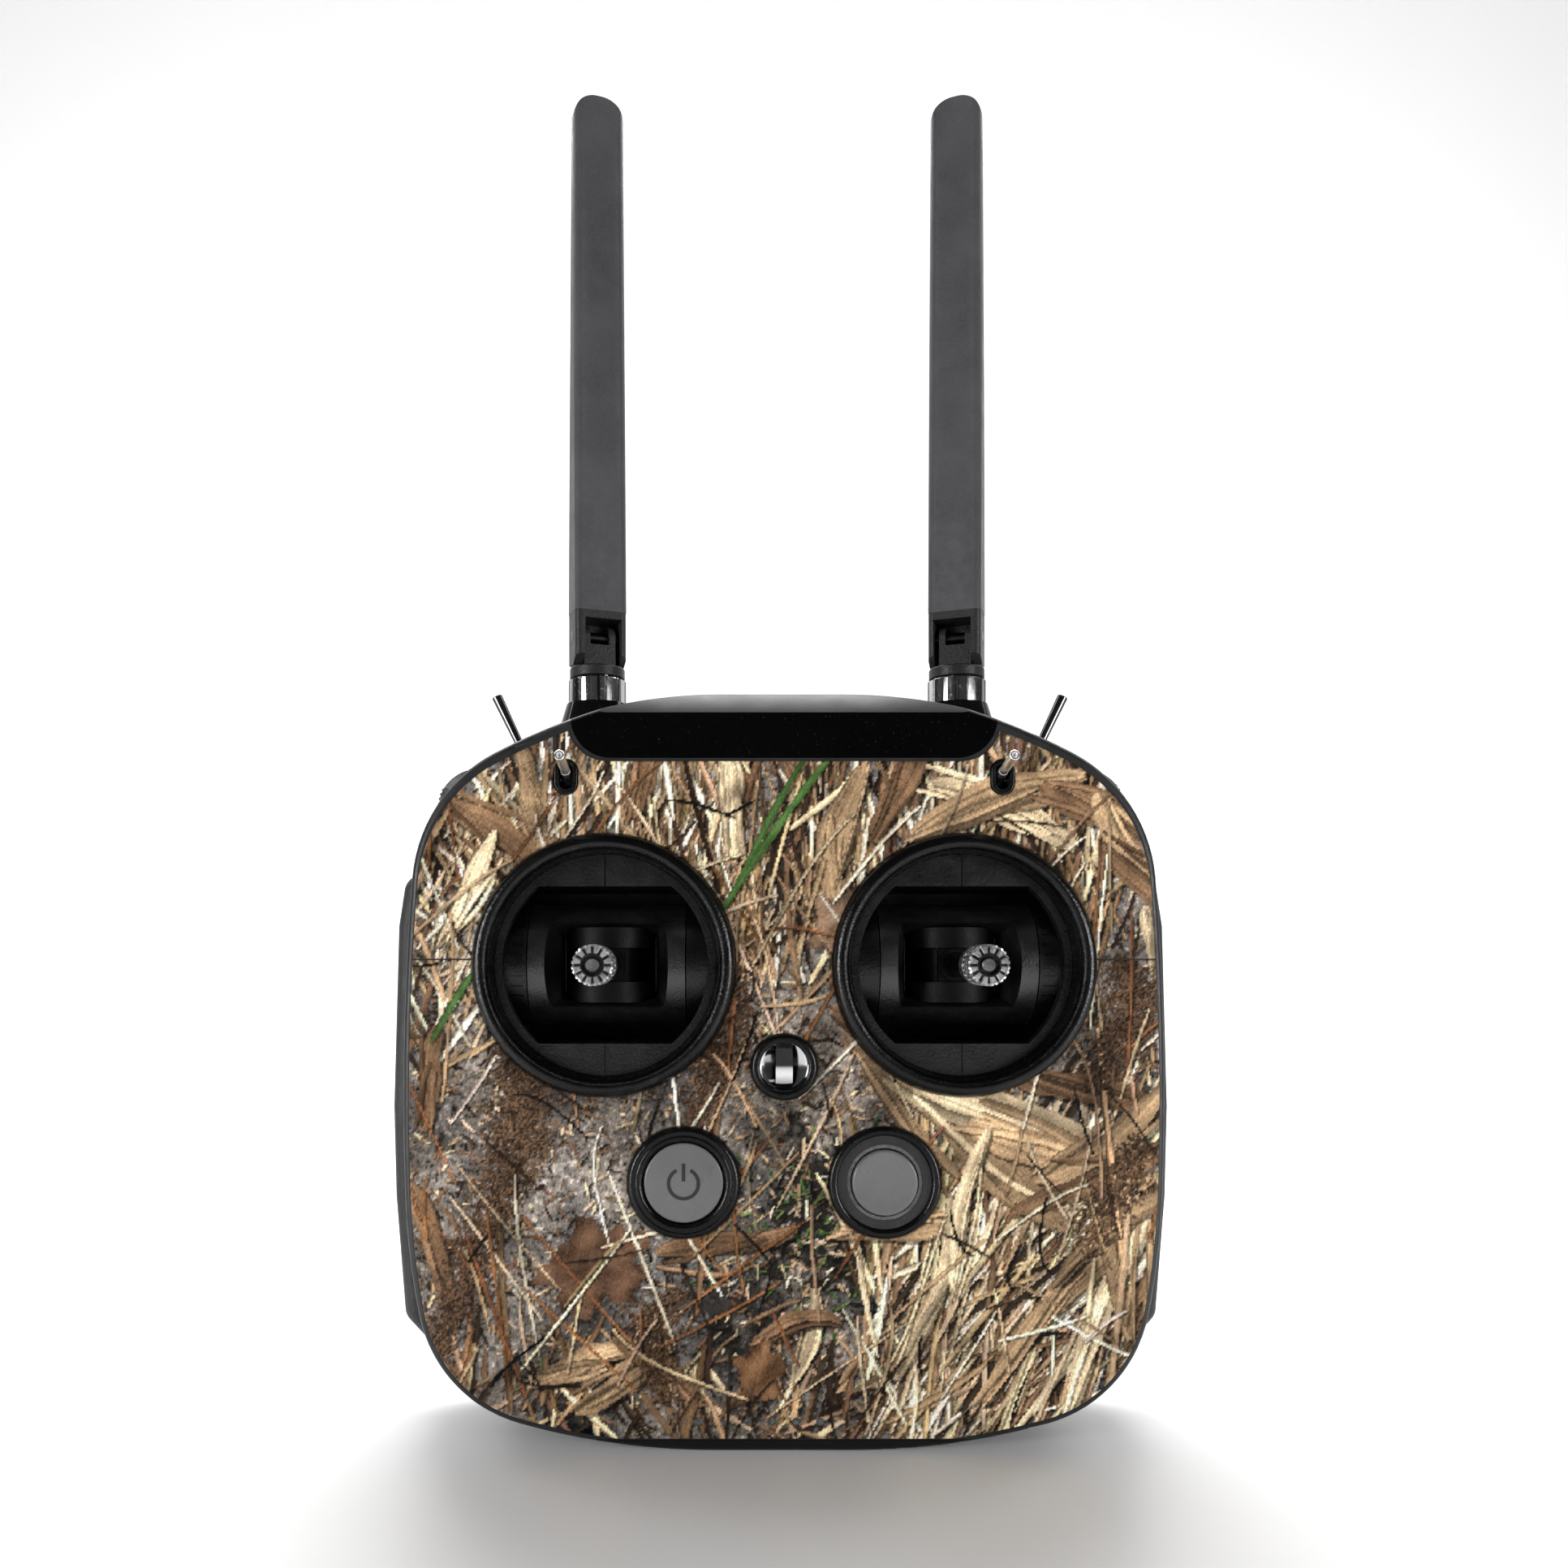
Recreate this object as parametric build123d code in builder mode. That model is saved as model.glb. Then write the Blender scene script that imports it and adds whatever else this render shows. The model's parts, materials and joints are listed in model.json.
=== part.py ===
from build123d import *
import os
from math import cos, radians, sin

# Two-stick radio control transmitter with a printed skin and two folding antennas.
# Frame: millimetres, +X to the right, +Z up along the antennas, the face looks towards -Y.
# The origin is under the middle of the part, on the surface it stands on.
# "Depth" counts backwards from the flat face, so a larger depth is a larger Y.

# ---------------------------------------------------------------- driving dimensions
FACE_Y = -10.75           # Y of the flat front face
BODY_DEPTH = 50.0         # face to back
SPLIT = 14.0              # depth of the joint between front shell and side frames
REAR_SPLIT = 30.0         # depth of the joint between side frames and rear shell
SEAM = 0.15               # open seam between neighbouring housings
WALL = 2.2                # front and back wall
SIDE_WALL = 2.4
FRONT_ROUND = 1.8
BACK_ROUND = 10.0
FOOT_HALF = 17.1          # half width of the flat underside
# left half of the body outline from the flat foot upwards: radius and sweep of each tangent arc
OUTLINE_ARCS = [(184, 15.4), (35.3, 63.4), (190, 9.1), (679, 6.7), (39, 57.6)]

COVER_LOW = 173.0         # lower edge of the gloss cover on the face
COVER_HALF = 53.0         # half width of the gloss cover
COVER_ROUND = 10.0
CREASE_Z = 183.0          # where the gloss cover turns back from the face
ROLL_DEPTH = 18.0         # depth at which the cover reaches its full height

BASE_HALF, BASE_HEIGHT = 47.0, 3.05
SKIN = 0.2                # printed skin thickness
SKIN_MARGIN = 1.8         # the rim of bare shell around the skin
SKIN_DROP = 1.2           # how much wider the rim is along the shoulders
SLIT_Z = 122.7            # height of the level slits in the skin

GRIP_FRONT, GRIP_BACK = 15.0, 46.0    # depths of the side grips
GRIP_CORNERS = [
    (-84, 13), (-98.9, 29), (-101.4, 60.5), (-102, 84), (-100.7, 131.5), (-98.6, 145.3), (-84, 145.3),
]

GIMBAL_X, GIMBAL_Z = 44.85, 121.3
GIMBAL_DEPTH = 21.4       # depth of the point where the two stick axes cross
BEZEL_R, BEZEL_BORE = 32.7, 27.9
SHELL_BORE = 30.5
DISC_FRONT, DISC_BACK, FLANGE_BACK = 3.0, 5.0, 6.5
WELL_R, WELL_HALF, WELL_BACK = 25.9, 19.8, 38.0
DRUM_R, DRUM_HALF = 16.0, 20.0
TRUNNION_R = 2.5
YOKE_R, YOKE_HALF, YOKE_BORE = 11.6, 9.7, 12.0
YOKE_PIN_R = 1.5
BAND_R, BAND_HALF = 8.5, 4.45
SHAFT_R = 3.2
STICK_END_FRONT, STICK_END_BACK, STICK_END_R = -28.5, -16.5, 4.75
FIT = 0.05                # radial play of the turning fits

BUTTON_X, BUTTON_Z = 25.0, 67.2
BUTTON_BEZEL_R, BUTTON_HOLE = 13.9, 12.0
POWER_CAP_R, HOME_CAP_R = 9.9, 8.2

LANYARD_Z, LANYARD_R = 96.0, 8.2
LED_Z, LED_R = 7.7, 0.9
LED_X = [-21.0, -9.0, -3.0, 3.0, 9.0]

FACE_TOGGLE = (-54.3, 168.1)
FACE_PIVOT = (6.0, 168.1)             # depth and Z of the lever's pivot
FACE_TOGGLE_TILT = 9.9                # the levers rest in their upper position
FACE_LEVER_LENGTH = 19.3
SHOULDER_TOGGLE = (-67.6, 176.3)
SHOULDER_DEPTH = 22.0
SHOULDER_LEAN = 25.5
SHOULDER_PIVOT = 2.0                  # below the shoulder surface
LEVER_HEIGHT = 18.4
BUSHING_R, BUSHING_BORE = 2.9, 2.3

DIAL_R, DIAL_FRONT, DIAL_BACK = 10.0, 14.8, 20.0
DIAL_SPOTS = {"left": (-79.7, 162.8), "right": (79.7, 162.8)}
AXLE_R = 1.5

ANTENNA_X, ANTENNA_DEPTH = -50.3, 38.0
ANTENNA_TURN = 20.0       # each antenna's flat faces inwards by this angle
STUB_R, STUB_Z = 5.9, 178.5
COLLAR_R, COLLAR_LOW, COLLAR_TOP = 8.0, 193.8, 201.0
NECK_LOW, NECK_TOP, NECK_R, NECK_PIN_R = 201.2, 204.0, 7.65, 3.0
TONGUE_HALF, TONGUE_R = 4.4, 3.0
FOLD_Z, FOLD_PIN_R = 212.7, 1.5
KNUCKLE_TOP = 219.3
ANTENNA_TOP = 362.6
BLADE_WIDTH, BLADE_THICK, TIP_WIDTH, TIP_THICK = 15.1, 10.0, 14.2, 6.0

SCREWS = [(-72, 30), (72, 30), (-78, 95), (78, 95), (-61, 157), (61, 157), (0, 146), (0, 84)]
SCREW_R, SCREW_HEAD_R = 1.45, 2.8
SPACER_R, SPACER_BACK = 3.4, 44.4     # tubes the case screws run through
BOARD_POSTS = [(-50, 20), (50, 20), (-50, 72), (50, 72)]
BOARD_DEPTH, BOARD = 16.0, 1.6
RADIO_POSTS = [(-32, 155.5), (32, 155.5), (-32, 168.5), (32, 168.5)]
RADIO_DEPTH = 30.0
HOLDER_X, HOLDER_Z, HOLDER_R = 20.0, 160.0, 1.6
DOOR_HALF, DOOR_LOW, DOOR_HIGH = 38.0, 15.0, 73.0

os.makedirs("parts", exist_ok=True)


# ---------------------------------------------------------------- helpers
def face_plane(depth=0.0, x=0.0, z=0.0):
    """A plane parallel to the face: sketch x is X, sketch y is Z, and its normal is -Y."""
    return Plane(origin=(x, FACE_Y + depth, z), x_dir=(1, 0, 0), z_dir=(0, -1, 0))


def side_plane(x):
    """A plane across the part: sketch x is depth and sketch y is Z."""
    return Plane(origin=(x, FACE_Y, 0), x_dir=(0, 1, 0), z_dir=(1, 0, 0))


def body_profile(inset=0.0):
    """The closed body outline, drawn in by a margin all round."""
    with BuildSketch() as profile:
        with BuildLine():
            piece = Line((0, 0), (-FOOT_HALF, 0))
            heading = 180.0
            for radius, sweep in OUTLINE_ARCS:
                piece = JernArc(piece @ 1, piece % 1, radius, -sweep)
                heading -= sweep
            # the last arc reaches the centre line level with the top
            top_radius = abs((piece @ 1).X) / sin(radians(heading))
            JernArc(piece @ 1, piece % 1, top_radius, -heading)
            mirror(about=Plane.YZ)
        make_face()
        if inset:
            offset(amount=-inset, mode=Mode.REPLACE)
    return profile.sketch


def cover_profile(grow=0.0):
    """The outline of the gloss cover on the face, open upwards past the top of the body."""
    half, low = COVER_HALF + grow, COVER_LOW - grow
    with BuildSketch() as profile:
        with BuildLine():
            FilletPolyline((-half, 200), (-half, low), (half, low), (half, 200), radius=COVER_ROUND)
            Line((half, 200), (-half, 200))
        make_face()
    return profile.sketch


def prism(profile, front, back, x=0.0, z=0.0):
    """A profile carried straight back from one depth to another, as a loose solid."""
    with BuildPart() as block:
        with BuildSketch(face_plane(front, x, z)):
            add(profile)
        extrude(amount=front - back)
    return block.part


def turned(outline, x, z):
    """A solid of revolution about a front-to-back axis, from (radius, depth) points."""
    with BuildPart() as piece:
        with BuildSketch(Plane(origin=(x, FACE_Y, z), x_dir=(1, 0, 0), z_dir=(0, 0, 1))):
            add(outline)
        revolve(axis=Axis((x, FACE_Y, z), (0, 1, 0)))
    return piece.part


def outline_of(*points):
    """A closed sketch through the points; a triple of points in a tuple is a rounded stretch."""
    with BuildSketch() as profile:
        with BuildLine():
            last = None
            first = None
            for point in points:
                if isinstance(point[0], tuple):
                    through, end = point
                    ThreePointArc(last, through, end)
                    last = end
                else:
                    if last is not None:
                        Line(last, point)
                    last = point
                    first = first or point
            Line(last, first)
        make_face()
    return profile.sketch


def rounded_lip(inner, outer, top, barrel, back):
    """Profile of a raised ring with a rounded lip and a barrel that passes through the shell."""
    crown = (inner + outer) / 2
    return outline_of(
        (outer, 0), (outer, top * 0.45),
        ((outer - 0.28, top * 0.82), (crown + 0.2, top)),
        (crown - 0.2, top),
        ((inner + 0.2, top * 0.8), (inner, top * 0.4)),
        (inner, back), (barrel, back), (barrel, 0),
    )


def save(piece, name):
    """Label a finished piece and write its STEP file."""
    piece.label = name
    export_step(piece, f"parts/{name}.step")


def save_pair(piece, name):
    """Write a left-hand piece and its mirror image on the right."""
    save(piece, f"{name}_left")
    save(mirror(piece, about=Plane.YZ), f"{name}_right")


def spoke_plane(angle, about_x, radius, x, z):
    """A plane on a gimbal drum's curved surface, turned from the front about X or about Z."""
    swing = radians(angle)
    if about_x:
        normal = (0, -cos(swing), sin(swing))
        along = (1, 0, 0)
    else:
        normal = (sin(swing), -cos(swing), 0)
        along = (0, 0, 1)
    centre = Vector(x, FACE_Y + GIMBAL_DEPTH, z)
    return Plane(origin=centre + Vector(*normal) * radius, x_dir=along, z_dir=normal)


def antenna_plane(height):
    """A level plane on the left antenna's axis: sketch x runs along its fold pin, y backwards."""
    turn = radians(ANTENNA_TURN)
    return Plane(
        origin=(ANTENNA_X, FACE_Y + ANTENNA_DEPTH, height),
        x_dir=(cos(turn), sin(turn), 0),
        z_dir=(0, 0, 1),
    )


def antenna_profile_plane(shift=0.0):
    """The upright plane across the fold pin: sketch x runs backwards and y up from the pin."""
    turn = radians(ANTENNA_TURN)
    along = Vector(cos(turn), sin(turn), 0)
    return Plane(
        origin=Vector(ANTENNA_X, FACE_Y + ANTENNA_DEPTH, FOLD_Z) + along * shift,
        x_dir=(-sin(turn), cos(turn), 0),
        z_dir=(cos(turn), sin(turn), 0),
    )


def shoulder_plane(height=0.0):
    """The left shoulder toggle's plane: its normal is the lever, sketch y points backwards."""
    lean = radians(SHOULDER_LEAN)
    x, z = SHOULDER_TOGGLE
    base = Plane(
        origin=(x, FACE_Y + SHOULDER_DEPTH, z),
        x_dir=(cos(lean), 0, sin(lean)),
        z_dir=(-sin(lean), 0, cos(lean)),
    )
    return base.offset(height)


# ---------------------------------------------------------------- body envelope and its cuts
with BuildPart() as envelope:
    with BuildSketch(face_plane()):
        add(body_profile())
    extrude(amount=-BODY_DEPTH)
    fillet(envelope.faces().sort_by(Axis.Y)[0].edges(), FRONT_ROUND)
    fillet(envelope.faces().sort_by(Axis.Y)[-1].edges(), BACK_ROUND)

with BuildPart() as hollow:
    with BuildSketch(face_plane(WALL)):
        add(body_profile(SIDE_WALL))
    extrude(amount=-(BODY_DEPTH - 2 * WALL))
    fillet(hollow.faces().sort_by(Axis.Y)[-1].edges(), BACK_ROUND - SIDE_WALL)

with BuildSketch() as everything:
    with Locations((0, 100)):
        Rectangle(260, 300)
with BuildSketch() as base_area:
    with Locations((0, BASE_HEIGHT / 2 - 1)):
        Rectangle(2 * BASE_HALF, BASE_HEIGHT + 2)
with BuildSketch() as base_gap:
    with Locations((0, BASE_HEIGHT / 2 - 1)):
        Rectangle(2 * BASE_HALF + 2 * SEAM, BASE_HEIGHT + 2 + 2 * SEAM)
front_slice = prism(everything.sketch, -5, SPLIT)
side_slice = prism(everything.sketch, SPLIT + SEAM, REAR_SPLIT)
rear_slice = prism(everything.sketch, REAR_SPLIT + SEAM, BODY_DEPTH + 5)
cover_area = prism(cover_profile(), -5, BODY_DEPTH + 5)
cover_cut = prism(cover_profile(SEAM), -5, BODY_DEPTH + 5)
base_cut = prism(base_gap.sketch, -5, BODY_DEPTH + 5)

with BuildPart() as antenna_bores:
    with BuildSketch(antenna_plane(170)):
        Circle(STUB_R + FIT)
    extrude(amount=30)
    mirror(about=Plane.YZ)

with BuildPart() as bushing_bores:
    with BuildSketch(shoulder_plane(-6)):
        Circle(BUSHING_R + FIT)
    extrude(amount=9)
    mirror(about=Plane.YZ)

# ---------------------------------------------------------------- front shell
with BuildPart() as front_shell:
    add(envelope.part)
    add(front_slice, mode=Mode.INTERSECT)
    add(hollow.part, mode=Mode.SUBTRACT)
    # sockets for the screw spacers and pillars with the axle bores of the dials
    with BuildSketch(face_plane(WALL - 0.2)):
        with Locations(*SCREWS):
            Circle(SPACER_R + 1.4)
    extrude(amount=-4)
    with BuildSketch(face_plane(WALL)):
        with Locations(*SCREWS):
            Circle(SPACER_R + FIT)
    extrude(amount=-5, mode=Mode.SUBTRACT)
    with BuildSketch(face_plane(WALL - 0.2)):
        with Locations(*DIAL_SPOTS.values()):
            Circle(3.2)
    extrude(amount=-(SPLIT - WALL + 0.2))
    with BuildSketch(face_plane(9)):
        with Locations(*DIAL_SPOTS.values()):
            Circle(AXLE_R + FIT)
    extrude(amount=-10, mode=Mode.SUBTRACT)
    # openings in the face
    with BuildSketch(face_plane(-1)):
        with Locations((-GIMBAL_X, GIMBAL_Z), (GIMBAL_X, GIMBAL_Z)):
            Circle(SHELL_BORE)
        with Locations((-BUTTON_X, BUTTON_Z), (BUTTON_X, BUTTON_Z)):
            Circle(BUTTON_HOLE)
        with Locations((0, LANYARD_Z)):
            Circle(7.0)
        with Locations(FACE_TOGGLE, (-FACE_TOGGLE[0], FACE_TOGGLE[1])):
            SlotOverall(8.2, 5.2, rotation=90)
        with Locations(*[(x, LED_Z) for x in LED_X]):
            Circle(LED_R + FIT)
    extrude(amount=-(WALL + 2), mode=Mode.SUBTRACT)
    add(cover_cut, mode=Mode.SUBTRACT)
    add(base_cut, mode=Mode.SUBTRACT)
save(front_shell.part, "front_shell")

# ---------------------------------------------------------------- side frames, left and right
with BuildPart() as side_frames:
    add(envelope.part)
    add(side_slice, mode=Mode.INTERSECT)
    add(hollow.part, mode=Mode.SUBTRACT)
    # pockets of the dials
    with BuildSketch(face_plane(SPLIT - 1)):
        with Locations(*DIAL_SPOTS.values()):
            Circle(DIAL_R + 0.5)
    extrude(amount=-(DIAL_BACK + 0.5 - SPLIT + 1), mode=Mode.SUBTRACT)
    add(bushing_bores.part, mode=Mode.SUBTRACT)
    add(cover_cut, mode=Mode.SUBTRACT)
    add(base_cut, mode=Mode.SUBTRACT)
save(side_frames.part, "side_frames")

# ---------------------------------------------------------------- rear shell
with BuildPart() as rear_shell:
    add(envelope.part)
    add(rear_slice, mode=Mode.INTERSECT)
    add(hollow.part, mode=Mode.SUBTRACT)
    # screw bosses, battery ribs and bosses for the device holder
    with BuildSketch(face_plane(SPACER_BACK + 0.1)):
        with Locations(*SCREWS):
            Circle(SCREW_HEAD_R + 2.2)
    extrude(amount=-(BODY_DEPTH - WALL - SPACER_BACK))
    with BuildSketch(face_plane(REAR_SPLIT + 8)):
        with Locations((-DOOR_HALF - 1.1, 44), (DOOR_HALF + 1.1, 44)):
            Rectangle(1.8, 54)
    extrude(amount=-(BODY_DEPTH - WALL - REAR_SPLIT - 7.8))
    with BuildSketch(face_plane(40)):
        with Locations((-HOLDER_X, HOLDER_Z), (HOLDER_X, HOLDER_Z)):
            Circle(4.0)
    extrude(amount=-(BODY_DEPTH - WALL - 39.8))
    # counterbores and screw holes, holder inserts and the battery opening
    with BuildSketch(face_plane(BODY_DEPTH + 1)):
        with Locations(*SCREWS):
            Circle(SCREW_HEAD_R + 0.4)
    extrude(amount=3.4, mode=Mode.SUBTRACT)
    with BuildSketch(face_plane(BODY_DEPTH + 1)):
        with Locations(*SCREWS):
            Circle(SCREW_R + FIT)
    extrude(amount=BODY_DEPTH, mode=Mode.SUBTRACT)
    with BuildSketch(face_plane(BODY_DEPTH + 1)):
        with Locations((-HOLDER_X, HOLDER_Z), (HOLDER_X, HOLDER_Z)):
            Circle(HOLDER_R)
    extrude(amount=8, mode=Mode.SUBTRACT)
    with BuildSketch(face_plane(BODY_DEPTH + 1)):
        with Locations((0, (DOOR_LOW + DOOR_HIGH) / 2)):
            RectangleRounded(2 * DOOR_HALF, DOOR_HIGH - DOOR_LOW, 5)
    extrude(amount=WALL + 1.2, mode=Mode.SUBTRACT)
    add(antenna_bores.part, mode=Mode.SUBTRACT)
    add(cover_cut, mode=Mode.SUBTRACT)
    add(base_cut, mode=Mode.SUBTRACT)
save(rear_shell.part, "rear_shell")

# ---------------------------------------------------------------- gloss top cover
with BuildPart() as under_roof:
    with BuildSketch(side_plane(-COVER_HALF + WALL)):
        Polygon((WALL, 164), (WALL, 181.0), (6, 185.8), (ROLL_DEPTH, 189.3), (50, 189.3), (50, 164),
                align=None)
    extrude(amount=2 * (COVER_HALF - WALL))
    add(hollow.part, mode=Mode.INTERSECT)

with BuildPart() as top_cover:
    add(envelope.part)
    add(cover_area, mode=Mode.INTERSECT)
    # above the crease the face turns back and rolls up to the roof
    with BuildSketch(side_plane(-70)):
        with BuildLine():
            Polyline((-1, CREASE_Z), (-1, 200), (ROLL_DEPTH, 200), (ROLL_DEPTH, 191.9))
            ThreePointArc((ROLL_DEPTH, 191.9), (6, 189.0), (-1, CREASE_Z))
        make_face()
    extrude(amount=140, mode=Mode.SUBTRACT)
    add(under_roof.part, mode=Mode.SUBTRACT)
    add(antenna_bores.part, mode=Mode.SUBTRACT)
save(top_cover.part, "top_cover")

# ---------------------------------------------------------------- base strip with the flat foot
with BuildPart() as base_strip:
    add(envelope.part)
    add(prism(base_area.sketch, -5, BODY_DEPTH + 5), mode=Mode.INTERSECT)
    add(hollow.part, mode=Mode.SUBTRACT)
save(base_strip.part, "base_strip")

# ---------------------------------------------------------------- printed skin
with BuildPart() as camo_skin:
    with BuildSketch(face_plane()):
        add(body_profile(SKIN_MARGIN))
        add(body_profile(SKIN_MARGIN).moved(Location((0, -SKIN_DROP))), mode=Mode.INTERSECT)
        Rectangle(300, 2 * (BASE_HEIGHT + 0.4), mode=Mode.SUBTRACT)
        add(cover_profile(1.0), mode=Mode.SUBTRACT)
        with Locations((-GIMBAL_X, GIMBAL_Z), (GIMBAL_X, GIMBAL_Z)):
            Circle(BEZEL_R + 0.2, mode=Mode.SUBTRACT)
        with Locations((-BUTTON_X, BUTTON_Z), (BUTTON_X, BUTTON_Z)):
            Circle(BUTTON_BEZEL_R + 0.2, mode=Mode.SUBTRACT)
        with Locations((0, LANYARD_Z)):
            Circle(LANYARD_R + 0.2, mode=Mode.SUBTRACT)
        with Locations(FACE_TOGGLE, (-FACE_TOGGLE[0], FACE_TOGGLE[1])):
            SlotOverall(9.1, 6.1, rotation=90, mode=Mode.SUBTRACT)
        with Locations(*[(x, LED_Z) for x in LED_X]):
            Circle(LED_R + 0.1, mode=Mode.SUBTRACT)
        # slits where the sheet is parted to go round the bezels and the left toggle
        with Locations((-90, SLIT_Z), (90, SLIT_Z)):
            Rectangle(28, 0.35, mode=Mode.SUBTRACT)
        with Locations(Location((-59.2, 160.4), 62)):
            Rectangle(16, 0.25, mode=Mode.SUBTRACT)
    extrude(amount=SKIN)
save(camo_skin.part, "camo_skin")

# ---------------------------------------------------------------- side grips
with BuildPart() as grip:
    with BuildSketch(face_plane(GRIP_FRONT)) as grip_area:
        Polygon(*GRIP_CORNERS, align=None)
        outer = grip_area.vertices().filter_by(lambda corner: corner.X < -95).sort_by(Axis.Y)
        fillet([outer[0], outer[-1]], 5)
        fillet(outer[1:-1], 40)
    extrude(amount=-(GRIP_BACK - GRIP_FRONT))
    fillet(grip.faces().sort_by(Axis.Y)[0].edges().filter_by(lambda edge: edge.center().X < -84.5), 4)
    fillet(grip.faces().sort_by(Axis.Y)[-1].edges().filter_by(lambda edge: edge.center().X < -84.5), 6)
    add(envelope.part, mode=Mode.SUBTRACT)
save_pair(grip.part, "grip")

# ---------------------------------------------------------------- gimbals (built on the left)
with BuildPart() as gimbal_frame:
    with BuildSketch(face_plane(DISC_FRONT, -GIMBAL_X, GIMBAL_Z)):
        Circle(BEZEL_BORE - 0.1)
    extrude(amount=-(DISC_BACK - DISC_FRONT))
    with BuildSketch(face_plane(DISC_BACK, -GIMBAL_X, GIMBAL_Z)):
        Circle(31.5)
    extrude(amount=-(FLANGE_BACK - DISC_BACK))
    with BuildSketch(face_plane(DISC_BACK, -GIMBAL_X, GIMBAL_Z)):
        Rectangle(56, 43.6)
    extrude(amount=-(WELL_BACK + 2 - DISC_BACK))
    # the well and its opening, cut level above and below
    with BuildSketch(face_plane(DISC_FRONT - 1, -GIMBAL_X, GIMBAL_Z)):
        Circle(WELL_R)
        Rectangle(60, 2 * WELL_HALF, mode=Mode.INTERSECT)
    extrude(amount=-(FLANGE_BACK - DISC_FRONT + 1), mode=Mode.SUBTRACT)
    with BuildSketch(face_plane(FLANGE_BACK, -GIMBAL_X, GIMBAL_Z)):
        Rectangle(2 * WELL_R, 2 * WELL_HALF)
    extrude(amount=-(WELL_BACK - FLANGE_BACK), mode=Mode.SUBTRACT)
    # round cheeks that carry the drum's trunnions, on webs from the back of the well
    for start in (-WELL_R, DRUM_HALF + 0.3):
        with BuildSketch(Plane(
            origin=(start - GIMBAL_X, FACE_Y + GIMBAL_DEPTH, GIMBAL_Z), x_dir=(0, 1, 0), z_dir=(1, 0, 0)
        )):
            Circle(DRUM_R)
            with Locations(((WELL_BACK + 1 - GIMBAL_DEPTH) / 2, 0)):
                Rectangle(WELL_BACK + 1 - GIMBAL_DEPTH, 20)
            Circle(TRUNNION_R + FIT, mode=Mode.SUBTRACT)
        extrude(amount=WELL_R - DRUM_HALF - 0.3)
    # centre marks on the trim disc and the tick scale on the outer cheek
    with BuildSketch(face_plane(DISC_FRONT, -GIMBAL_X, GIMBAL_Z)):
        with Locations((0, 23.5), (0, -23.5)):
            Rectangle(0.4, 7.4)
        with Locations((26.5, 0), (-26.5, 0)):
            Rectangle(1.8, 0.4)
    extrude(amount=-0.3, mode=Mode.SUBTRACT)
    for step in range(-5, 6):
        with BuildSketch(spoke_plane(9.5 * step, True, DRUM_R - 0.3, -GIMBAL_X - 22.7, GIMBAL_Z)):
            Rectangle(3.0, 0.45)
        extrude(amount=1, mode=Mode.SUBTRACT)
save_pair(gimbal_frame.part, "gimbal_frame")

with BuildPart() as gimbal_drum:
    with BuildSketch(Plane(
        origin=(-GIMBAL_X - DRUM_HALF, FACE_Y + GIMBAL_DEPTH, GIMBAL_Z), x_dir=(0, 1, 0), z_dir=(1, 0, 0)
    )):
        Circle(DRUM_R)
    extrude(amount=2 * DRUM_HALF)
    with BuildSketch(Plane(
        origin=(-GIMBAL_X - 24, FACE_Y + GIMBAL_DEPTH, GIMBAL_Z), x_dir=(0, 1, 0), z_dir=(1, 0, 0)
    )):
        Circle(TRUNNION_R)
    extrude(amount=48)
    # funnel window down to the upright bore of the yoke
    with BuildSketch(face_plane(5.0, -GIMBAL_X, GIMBAL_Z)):
        RectangleRounded(31.6, 24.3, 0.8)
    with BuildSketch(face_plane(19.5, -GIMBAL_X, GIMBAL_Z)):
        RectangleRounded(23.9, 15.2, 0.8)
    loft(mode=Mode.SUBTRACT)
    with BuildSketch(Plane(origin=(-GIMBAL_X, FACE_Y + GIMBAL_DEPTH, GIMBAL_Z - 10.06))):
        Circle(YOKE_BORE)
    extrude(amount=20.12, mode=Mode.SUBTRACT)
    with BuildSketch(Plane(origin=(-GIMBAL_X, FACE_Y + GIMBAL_DEPTH, GIMBAL_Z - 14))):
        Circle(YOKE_PIN_R + FIT)
    extrude(amount=28, mode=Mode.SUBTRACT)
    # pointer next to the scale
    with BuildSketch(spoke_plane(0, True, DRUM_R - 0.3, -GIMBAL_X - 18.4, GIMBAL_Z)):
        Rectangle(2.6, 0.6)
    extrude(amount=1, mode=Mode.SUBTRACT)
save_pair(gimbal_drum.part, "gimbal_drum")

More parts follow.
